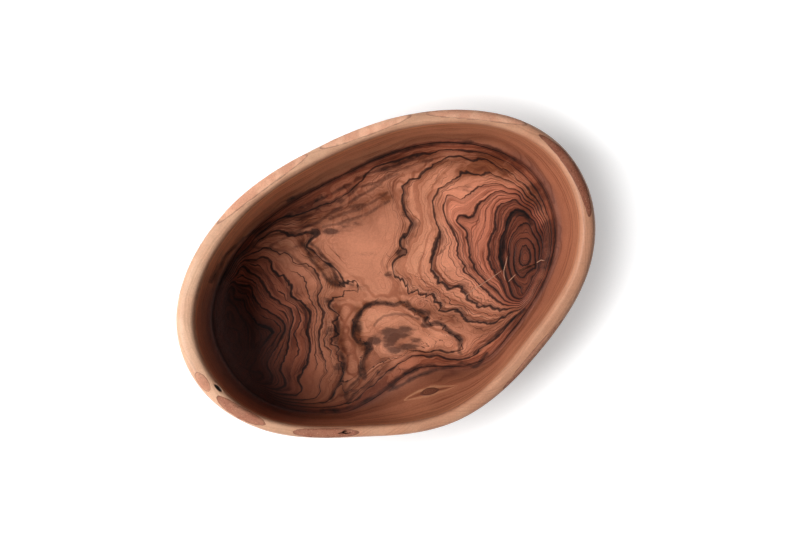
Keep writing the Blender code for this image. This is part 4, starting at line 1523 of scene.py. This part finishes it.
def cork_finish():
    material, tree, shader = new_finish("cork_grain")
    spot = object_spot(tree)
    colour = mixed(tree, ranged(tree, cloud(tree, spot, 420, 2), 0.35, 0.65), BARK_RED, BARK_TAN)
    oil_over(tree, shader, spot, colour, relief=0.1 * MM, gloss=0.3,
             pore_scale=2600.0, dull=0.7, uneven=0.08)
    return material


BARK_FINISH = bark_finish()
CORK_FINISH = cork_finish()
for piece in bark_pieces:
    piece.data.materials.append(BARK_FINISH)
print("bark finish:", len(BARK_FINISH.node_tree.nodes), "nodes")

# %% [markdown]
# ## Cork grains on the bark
# Close up, the bark is stippled with small corky grains. Hundreds of like shapes strewn over a surface
# are a job for Geometry Nodes: points are scattered on the raised faces with a fixed seed, a flattened
# ball of twenty faces sits on each, and the instances are made real so that an export keeps them.

# %% A tree that strews cork grains
MOST_GRAINS = 900000.0
GRAIN_FLATNESS = 0.45


def new_geometry_tree(name, sizes):
    tree = bpy.data.node_groups.new(name, "GeometryNodeTree")
    tree.interface.new_socket("Geometry", in_out="INPUT", socket_type="NodeSocketGeometry")
    kinds = {float: "NodeSocketFloat", int: "NodeSocketInt", bpy.types.Material: "NodeSocketMaterial"}
    for size_name, kind in sizes:
        tree.interface.new_socket(size_name, in_out="INPUT", socket_type=kinds[kind])
    tree.interface.new_socket("Geometry", in_out="OUTPUT", socket_type="NodeSocketGeometry")
    return tree, tree.nodes.new("NodeGroupInput").outputs, tree.nodes.new("NodeGroupOutput").inputs


def made_real(tree, geometry, finish):
    """The end of a tree: instances made real, shaded smooth and given their finish."""
    real = add_node(tree, "GeometryNodeRealizeInstances", {"Geometry": geometry}).outputs[0]
    smooth = add_node(tree, "GeometryNodeSetShadeSmooth", {"Geometry": real}).outputs[0]
    return add_node(tree, "GeometryNodeSetMaterial", {"Geometry": smooth, "Material": finish}).outputs[0]


def cork_tree():
    sizes = (("Spacing", float), ("Smallest", float), ("Largest", float), ("Least Lift", float),
             ("Seed", int), ("Grain Finish", bpy.types.Material))
    tree, given, result = new_geometry_tree("Strew Cork Grains", sizes)
    named = {"Name": "lift"}
    lift = add_node(tree, "GeometryNodeInputNamedAttribute", named, data_type="FLOAT").outputs[0]
    compared = {0: lift, 1: given["Least Lift"]}
    raised = add_node(tree, "FunctionNodeCompare", compared, operation="GREATER_THAN").outputs[0]
    strewn = add_node(tree, "GeometryNodeDistributePointsOnFaces", {
        "Mesh": given["Geometry"], "Selection": raised, "Distance Min": given["Spacing"],
        "Density Max": MOST_GRAINS, "Seed": given["Seed"]}, distribute_method="POISSON").outputs
    ball = add_node(tree, "GeometryNodeMeshIcoSphere", {"Radius": 1.0, "Subdivisions": 1}).outputs[0]
    size = add_node(tree, "FunctionNodeRandomValue", {
        2: given["Smallest"], 3: given["Largest"], "Seed": given["Seed"]}, data_type="FLOAT").outputs[1]
    flat = times(tree, size, GRAIN_FLATNESS)
    scale = add_node(tree, "ShaderNodeCombineXYZ", {0: size, 1: size, 2: flat}).outputs[0]
    grains = add_node(tree, "GeometryNodeInstanceOnPoints", {
        "Points": strewn["Points"], "Instance": ball, "Rotation": strewn["Rotation"],
        "Scale": scale}).outputs[0]
    joined = tree.nodes.new("GeometryNodeJoinGeometry")
    tree.links.new(given["Geometry"], joined.inputs[0])
    tree.links.new(made_real(tree, grains, given["Grain Finish"]), joined.inputs[0])
    tree.links.new(joined.outputs[0], result["Geometry"])
    return tree


def run_tree(piece, tree, values):
    """Gives a piece a node tree with these inputs, and keeps the result as a plain mesh."""
    modifier = piece.modifiers.new(tree.name, "NODES")
    modifier.node_group = tree
    for item in tree.interface.items_tree:
        if item.in_out == "INPUT" and item.name in values:
            modifier[item.identifier] = values[item.name]
    graph = bpy.context.evaluated_depsgraph_get()
    made = bpy.data.meshes.new_from_object(piece.evaluated_get(graph))
    made.name = piece.name
    return made


CORK_TREE = cork_tree()
for seed, piece in enumerate(bark_pieces):
    sizes = {"Spacing": 1.5 * MM, "Smallest": 0.08 * MM, "Largest": 0.2 * MM, "Least Lift": 0.09,
             "Seed": seed + 1, "Grain Finish": CORK_FINISH}
    grained = run_tree(piece, CORK_TREE, sizes)
    piece.modifiers.clear()
    piece.data = grained
print("bark with cork grains:", sum(len(piece.data.polygons) for piece in bark_pieces), "faces")

# %% [markdown]
# ## The knot in the wall
# Where a branch left the trunk the wall holds its stub, cut through at a slant: a dark red-brown eye with
# rings of its own. It is a thin lens that follows the wall, a hair proud of it, and its finish draws the
# rings from each point's distance to the middle.

# %% Knot
KNOT_LENGTH = 13 * MM
KNOT_WIDTH = 7 * MM
KNOT_DEPTH = 2.2 * MM
KNOT_PROUD = 0.12 * MM
KNOT_SIDES = 64
KNOT_RINGS = 14
KNOT_HEART = (0.22, 0.072, 0.038)
KNOT_DARK = (0.07, 0.022, 0.013)
KNOT_RIM = (0.10, 0.032, 0.018)
KNOT_POINTED = 0.3
KNOT_YEARS = 4.0
YEAR_PROFILE = ((0.0, 0.5), (0.06, 0.0), (0.35, 0.0), (0.8, 0.7), (1.0, 1.0))


def knot_piece():
    reach = np.arange(1, KNOT_RINGS + 1) / KNOT_RINGS
    angle = math.tau * np.arange(KNOT_SIDES) / KNOT_SIDES
    pointed = np.sin(angle) * (1 - KNOT_POINTED * np.cos(angle) ** 2)
    along = KNOT_LENGTH / 2 * np.outer(reach, np.cos(angle))
    across = KNOT_WIDTH / 2 * np.outer(reach, pointed)
    turn = KNOT_TURN + along.ravel() / KNOT_TURN_LENGTH
    arc = KNOT_ARC + across.ravel()[:, None]
    skin = skin_sheet(turn, arc)[:, 0].reshape(KNOT_RINGS, KNOT_SIDES, 3)
    facing = skin_facing(turn, arc)[:, 0].reshape(KNOT_RINGS, KNOT_SIDES, 3)
    dome = 1 - reach[:, None, None] ** 2
    top = skin + (KNOT_PROUD * dome - 0.5 * KNOT_PROUD) * facing
    bottom = skin - (KNOT_DEPTH * dome + 2 * KNOT_PROUD) * facing
    loops = np.concatenate([top, bottom[::-1]])
    points = np.concatenate([loops.reshape(-1, 3), [top[0].mean(0)], [bottom[0].mean(0)]])
    first = len(points) - 2
    piece = add_mesh_piece("wall_knot_eye", points, ring_faces(len(loops), KNOT_SIDES, first, first + 1))
    point_outwards(piece)
    rows = np.concatenate([reach, reach[::-1]])
    store(piece, "reach", np.concatenate([np.repeat(rows, KNOT_SIDES), [0, 0]]))
    return piece


def knot_finish():
    material, tree, shader = new_finish("knot_wood_eye")
    spot = object_spot(tree)
    warped = sums(tree, "MULTIPLY_ADD", cloud(tree, spot, 320, 3), 0.3, attribute(tree, "reach"))
    warped = sums(tree, "SUBTRACT", warped, 0.15)
    year = sums(tree, "FRACT", times(tree, warped, KNOT_YEARS))
    colour = mixed(tree, ramp(tree, year, YEAR_PROFILE), KNOT_HEART, KNOT_DARK)
    colour = mixed(tree, ranged(tree, warped, 0.55, 0.95, 0.0, 0.85), colour, KNOT_RIM)
    oil_over(tree, shader, spot, colour, relief=0.15 * MM, gloss=0.4,
             pore_scale=1500.0, dull=0.42, uneven=0.05)
    return material


knot = knot_piece()
knot.data.materials.append(knot_finish())
print("knot:", len(knot.data.polygons), "faces")

# %% [markdown]
# ## Drying checks
# Near the right heart the wood has split as it dried. Most of the split was filled and shows as a thin
# pale line, and a short stretch in its middle stands open and dark. Lines that follow a path suit
# Geometry Nodes too: a round bar is swept along each path, thin at both ends, and sunk so that only its
# back shows.

# %% A tree that sweeps a tapered bar
SLIVER_STEPS = 24
SLIVER_SIDES = 8
SLIVER_BLUNTNESS = 0.4
SLIVER_FULLNESS = 1.6
SLIVER_TIP = 0.12
WELD = 0.001 * MM


def sliver_tree():
    sizes = (("Width", float), ("Steps", int), ("Finish", bpy.types.Material))
    tree, given, result = new_geometry_tree("Tapered Sliver", sizes)
    path = add_node(tree, "GeometryNodeResampleCurve", {
        "Curve": given["Geometry"], "Count": given["Steps"]}).outputs[0]
    half = times(tree, given["Width"], 0.5)
    round_bar = add_node(tree, "GeometryNodeCurvePrimitiveCircle", {
        "Resolution": SLIVER_SIDES, "Radius": half}).outputs[0]
    place = tree.nodes.new("GeometryNodeSplineParameter").outputs["Factor"]
    bulge = times(tree, place, sums(tree, "SUBTRACT", 1.0, place))
    thick = sums(tree, "POWER", bulge, SLIVER_BLUNTNESS)
    thick = sums(tree, "MULTIPLY_ADD", thick, SLIVER_FULLNESS, SLIVER_TIP)
    swept = add_node(tree, "GeometryNodeCurveToMesh", {
        "Curve": path, "Profile Curve": round_bar, "Scale": thick, "Fill Caps": True}).outputs[0]
    tree.links.new(made_real(tree, swept, given["Finish"]), result["Geometry"])
    return tree


SLIVER_TREE = sliver_tree()


def sliver_piece(name, paths, width, finish):
    """Tapered bars along these paths, as one piece."""
    line = bpy.data.curves.new(name, "CURVE")
    line.dimensions = "3D"
    for path in paths:
        spline = line.splines.new("POLY")
        spline.points.add(len(path) - 1)
        for point, place in zip(spline.points, path):
            point.co = (*place, 1)
    drawn = bpy.data.objects.new(name + "_path", line)
    bpy.context.scene.collection.objects.link(drawn)
    made = run_tree(drawn, SLIVER_TREE, {"Width": width, "Steps": SLIVER_STEPS, "Finish": finish})
    bpy.data.objects.remove(drawn)
    made.name = name
    piece = bpy.data.objects.new(name, made)
    bpy.context.scene.collection.objects.link(piece)
    point_outwards(piece, WELD)
    return piece


print("sliver tree with", len(SLIVER_TREE.nodes), "nodes")

# %% [markdown]
# ## Filler and gap
# The filler is paler than the wood and a little blotched. The open stretch is drawn by a nearly black bar
# let into the floor, broader and deeper than the filler's, which paints the shade inside the open gap.
# Their paths are given in the picture and carried down to the dished floor.

# %% Filled and open checks
CHECK_FILLER = (0.52, 0.27, 0.17)
CHECK_BLOTCH = (0.160, 0.066, 0.042)
# Nearly black: painted shade inside the open gap and the bark's crack.
GAP_PAINTED_SHADE = (0.018, 0.008, 0.006)
FILLED_CHECKS = (
    ((461, 299), (476, 288), (490, 279), (504, 269)),
    ((508, 254), (506, 263), (504, 270), (504, 276), (506, 282)),
    ((508, 282), (512, 278), (516, 274)),
    ((536, 263), (541, 260), (545, 261)),
)
OPEN_CHECKS = (((516, 272), (526, 268), (538, 263)),)
SLIVER_WIDTH = 0.75 * MM
SLIVER_SINK = 0.22 * MM
GAP_WIDTH = 1.7 * MM
GAP_SINK = 0.5 * MM
edge_angles = np.arctan2(rings[-1][:, 1], rings[-1][:, 0])
edge_order = np.argsort(edge_angles)


def floor_points(pixels, sink):
    """Points on the dished floor under these pixels, sunk a little."""
    plan_here = on_floor(pixels)
    angles = np.arctan2(plan_here[:, 1], plan_here[:, 0])
    reach = np.interp(angles, edge_angles[edge_order], radius[edge_order], period=math.tau)
    share = np.linalg.norm(plan_here, axis=-1) / reach
    height = FLOOR_THICKNESS + FLOOR_DISH * share**2 - sink
    return np.concatenate([plan_here, height[:, None]], axis=-1)


def filler_finish(name, colour, dull, gloss):
    material, tree, shader = new_finish(name)
    spot = object_spot(tree)
    blotches = ranged(tree, cloud(tree, spot, 240, 2), 0.4, 0.65, 0.0, 0.5)
    blotched = mixed(tree, blotches, colour, CHECK_BLOTCH)
    oil_over(tree, shader, spot, blotched, relief=0.1 * MM, gloss=gloss,
             pore_scale=1800.0, dull=dull, uneven=0.06)
    return material


pale_filler = filler_finish("check_filler", CHECK_FILLER, dull=0.5, gloss=0.3)
# The open stretch and the bark's crack are nearly black bars, which paint the shade inside them.
painted_shade_gap = filler_finish("open_gap_painted_shade", GAP_PAINTED_SHADE, dull=0.8, gloss=0.0)
filled_paths = [floor_points(path, SLIVER_SINK) for path in FILLED_CHECKS]
open_paths = [floor_points(path, GAP_SINK) for path in OPEN_CHECKS]
filled = sliver_piece("filled_check", filled_paths, SLIVER_WIDTH, pale_filler)
open_check_shade_bar = sliver_piece("open_check_shade_bar", open_paths, GAP_WIDTH, painted_shade_gap)
print("checks:", len(filled.data.polygons) + len(open_check_shade_bar.data.polygons), "faces")

# %% [markdown]
# ## A crack in the bark
# One island of bark has a short crack near its end, dark and forked. It follows the bark's own surface,
# so its path is given in turns round the bowl and lengths along the section.

# %% Bark crack
CRACK_TURN = 236.2 / 360
CRACK_LENGTH = 6 * MM
CRACK_WIDTH = 1 * MM
CRACK_PROUD = 0.05 * MM
CRACK_PATHS = (
    ((-0.6, -0.02), (-0.2, 0.06), (0.15, -0.03), (0.6, 0.02)),
    ((-0.3, 0.04), (0.0, 0.22), (0.25, 0.2)),
)
crack_shape = next(shape for name, *shape, _ in BARK_PATCHES if name == "bark_lower_middle")
_, _, crack_turns, crack_arcs = bark_grid(*crack_shape)


def crack_path(points):
    """A path on the bark: each point is a share of the crack's length along it, and one across it."""
    along, aside = np.array(points).T
    turns = CRACK_TURN + along * CRACK_LENGTH / (math.tau * BOWL_WIDTH / 2)
    across = np.interp(turns, crack_turns, crack_arcs[:, BARK_ACROSS // 2]) + aside * CRACK_LENGTH
    skin = skin_sheet(turns, across[:, None])[:, 0]
    return skin + CRACK_PROUD * skin_facing(turns, across[:, None])[:, 0]


# The crack is a nearly black bar, which paints the shade inside it.
crack = sliver_piece("bark_crack_shade_bar", [crack_path(path) for path in CRACK_PATHS], CRACK_WIDTH, painted_shade_gap)
print("crack:", len(crack.data.polygons), "faces")

# %% [markdown]
# ## Handing the pieces to the frame
# The bowl, the knot and each island of bark stand for one imported node each, which is then hidden. The
# checks and the crack are added to them. All the pieces move with the one body.

# %% Ride and replace
handed = [(bowl, "bowl_body", "olive_wood"), (knot, "wall_knot", "knot_wood")]
handed += [(piece, name, "bark") for piece, (name, *_) in zip(bark_pieces, BARK_PATCHES)]
for piece, node_name, slot_name in handed:
    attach(piece, "root")
    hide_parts(node_name)
added = ((filled, "olive_wood"), (open_check_shade_bar, "knot_wood"), (crack, "bark"))
for piece, slot_name in added:
    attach(piece, "root")
print(len(handed) + len(added), "pieces ride on the body")

# %% [markdown]
# ## Floor and surround
# The photograph is a plain studio view on a white ground. The floor takes the bowl's shadow and glows,
# for what the camera sees and not as light on the bowl. The glow is weakest at the bowl's outline and
# grows outwards, so it paints out the outer part of the shadow and sets how far it reaches: painted
# light over the cast shadow. Beyond that the floor comes out white, and further out it meets a white
# surround, so that views from the side have a white background too.

# %% Floor and surround
FLOOR_REACH = 4.0
SURROUND_HEIGHT = 3.0
FLOOR_GREY = 0.8
FLOOR_GLOW = 0.40
GROUND_STEPS = tuple(step * MM for step in (0, 4, 8, 13, 18, 24, 31, 40, 60, 120, 400, 1200))
# The glow grows from the bowl's outline out to here, which paints out the outer part of the bowl's shadow:
# painted light.
SHADOW_PAINTED_WHITE_FROM = 6 * MM
SHADOW_PAINTED_WHITE_TO = 44 * MM


def seen_directly(tree):
    """One for what the camera, a reflection or a clear material sees, and zero for light that bounces."""
    path = tree.nodes.new("ShaderNodeLightPath").outputs
    either = sums(tree, "MAXIMUM", path["Is Camera Ray"], path["Is Glossy Ray"])
    return sums(tree, "MAXIMUM", either, path["Is Transmission Ray"])


def stage_finish(name, takes_shadow):
    material, tree, shader = new_finish(name)
    tree.nodes.remove(shader)
    seen = seen_directly(tree)
    white = add_node(tree, "ShaderNodeEmission", {"Color": (1, 1, 1, 1), "Strength": seen}).outputs[0]
    result = tree.nodes["Material Output"].inputs["Surface"]
    if not takes_shadow:
        tree.links.new(white, result)
        return material
    away = attribute(tree, "away")
    # Painted light over the bowl's shadow: the glow grows with the distance from the outline.
    glow_painting_out_shadow = times(tree, seen, ranged(tree, away, SHADOW_PAINTED_WHITE_FROM, SHADOW_PAINTED_WHITE_TO, FLOOR_GLOW, 1.0))
    grey = (FLOOR_GREY, FLOOR_GREY, FLOOR_GREY, 1)
    lit = add_node(tree, "ShaderNodeBsdfDiffuse", {"Color": grey}).outputs[0]
    soft = add_node(tree, "ShaderNodeEmission", {"Color": (1, 1, 1, 1), "Strength": glow_painting_out_shadow}).outputs[0]
    tree.links.new(add_node(tree, "ShaderNodeAddShader", {0: lit, 1: soft}).outputs[0], result)
    return material


def surround_points(height):
    angle = math.tau * TURNS
    plan_here = FLOOR_REACH * np.cos(angle), FLOOR_REACH * np.sin(angle)
    return np.stack([*plan_here, 0 * angle + height], axis=-1)


foot_line = belly(TURNS)
ground_rings = [0.5 * foot_line] + [foot_line - step * inward(TURNS) for step in GROUND_STEPS]
ground_rings = [np.concatenate([ring, np.zeros((AROUND, 1))], axis=-1) for ring in ground_rings]
ground_rings.append(surround_points(0))
ground_points = np.concatenate(ground_rings + [np.zeros((1, 3))])
ground_faces = ring_faces(len(ground_rings), AROUND, len(ground_points) - 1, None)
ground = add_mesh_piece("ground", ground_points, [face for face in ground_faces if face[-1] is not None])
ground_away = np.repeat((-1.0,) + GROUND_STEPS + (FLOOR_REACH,), AROUND)
store(ground, "away", np.concatenate([ground_away, [-1.0]]))
ground.data.materials.append(stage_finish("white_ground", True))
wall_faces = [(k, AROUND + k, AROUND + (k + 1) % AROUND, (k + 1) % AROUND) for k in range(AROUND)]
wall_points = np.concatenate([surround_points(0), surround_points(SURROUND_HEIGHT)])
surround = add_mesh_piece("surround", wall_points, wall_faces)
surround.data.materials.append(stage_finish("white_surround", False))
print("ground", 2 * FLOOR_REACH, "m across")

# %% [markdown]
# ## Lamps
# One large soft lamp stands to the picture's left, so the near wall throws the left of the hollow into
# deep shade. A weak one on the other side and a dim world keep that shade from going black. All three
# stay at a plain level, at which a colour renders about as it is written.

# %% Lamps and world
WORLD_STRENGTH = 0.04
picture_left = -picture_axes[0]


def softbox(name, elevation, sideways, distance, width, height, power):
    """A soft lamp that faces the bowl. Sideways is its place round the bowl from the picture's left."""
    lamp = bpy.data.lights.new(name, "AREA")
    lamp.shape = "RECTANGLE"
    lamp.size = width
    lamp.size_y = height
    lamp.energy = power
    spot_angle = math.atan2(picture_left[1], picture_left[0]) + math.radians(sideways)
    lift = math.radians(elevation)
    level = math.cos(lift)
    direction = Vector((math.cos(spot_angle) * level, math.sin(spot_angle) * level, math.sin(lift)))
    obj = bpy.data.objects.new(name, lamp)
    obj.location = direction * distance + Vector((0, 0, BOWL_HEIGHT / 2))
    obj.rotation_euler = direction.to_track_quat("Z", "Y").to_euler()
    obj.visible_camera = False
    bpy.context.scene.collection.objects.link(obj)


softbox("left_softbox", elevation=47, sideways=7, distance=1.6, width=1.25, height=0.6, power=34.0)
softbox("right_fill", elevation=42, sideways=155, distance=1.6, width=0.8, height=0.8, power=2.2)
world = bpy.data.worlds.new("dim_room")
world.use_nodes = True
background = world.node_tree.nodes["Background"].inputs
background["Color"].default_value = (1, 1, 1, 1)
background["Strength"].default_value = WORLD_STRENGTH
bpy.context.scene.world = world

# %% [markdown]
# ## Camera
# The camera stands where the tracing took it to be, straight above the bowl and turned with it. The
# Standard view transform shows colours as they are written, with no film-like curve.

# %% Camera
camera = bpy.data.objects.new("overhead_camera", bpy.data.cameras.new("overhead_camera"))
camera.data.lens = LENS
camera.data.sensor_width = SENSOR
camera.location = (*CAMERA_PLAN, CAMERA_HEIGHT)
camera.rotation_euler = (0, 0, -VIEW_TURN)
bpy.context.scene.collection.objects.link(camera)
bpy.context.scene.camera = camera
bpy.context.scene.view_settings.view_transform = "Standard"
print("camera at", [round(v, 4) for v in camera.location])

# %% [markdown]
# ## Bringing the scene up to date
# Last, the view layer is updated. The looks may fill that box, but not grow out of it.

# %% Update the view layer
bpy.context.view_layer.update()
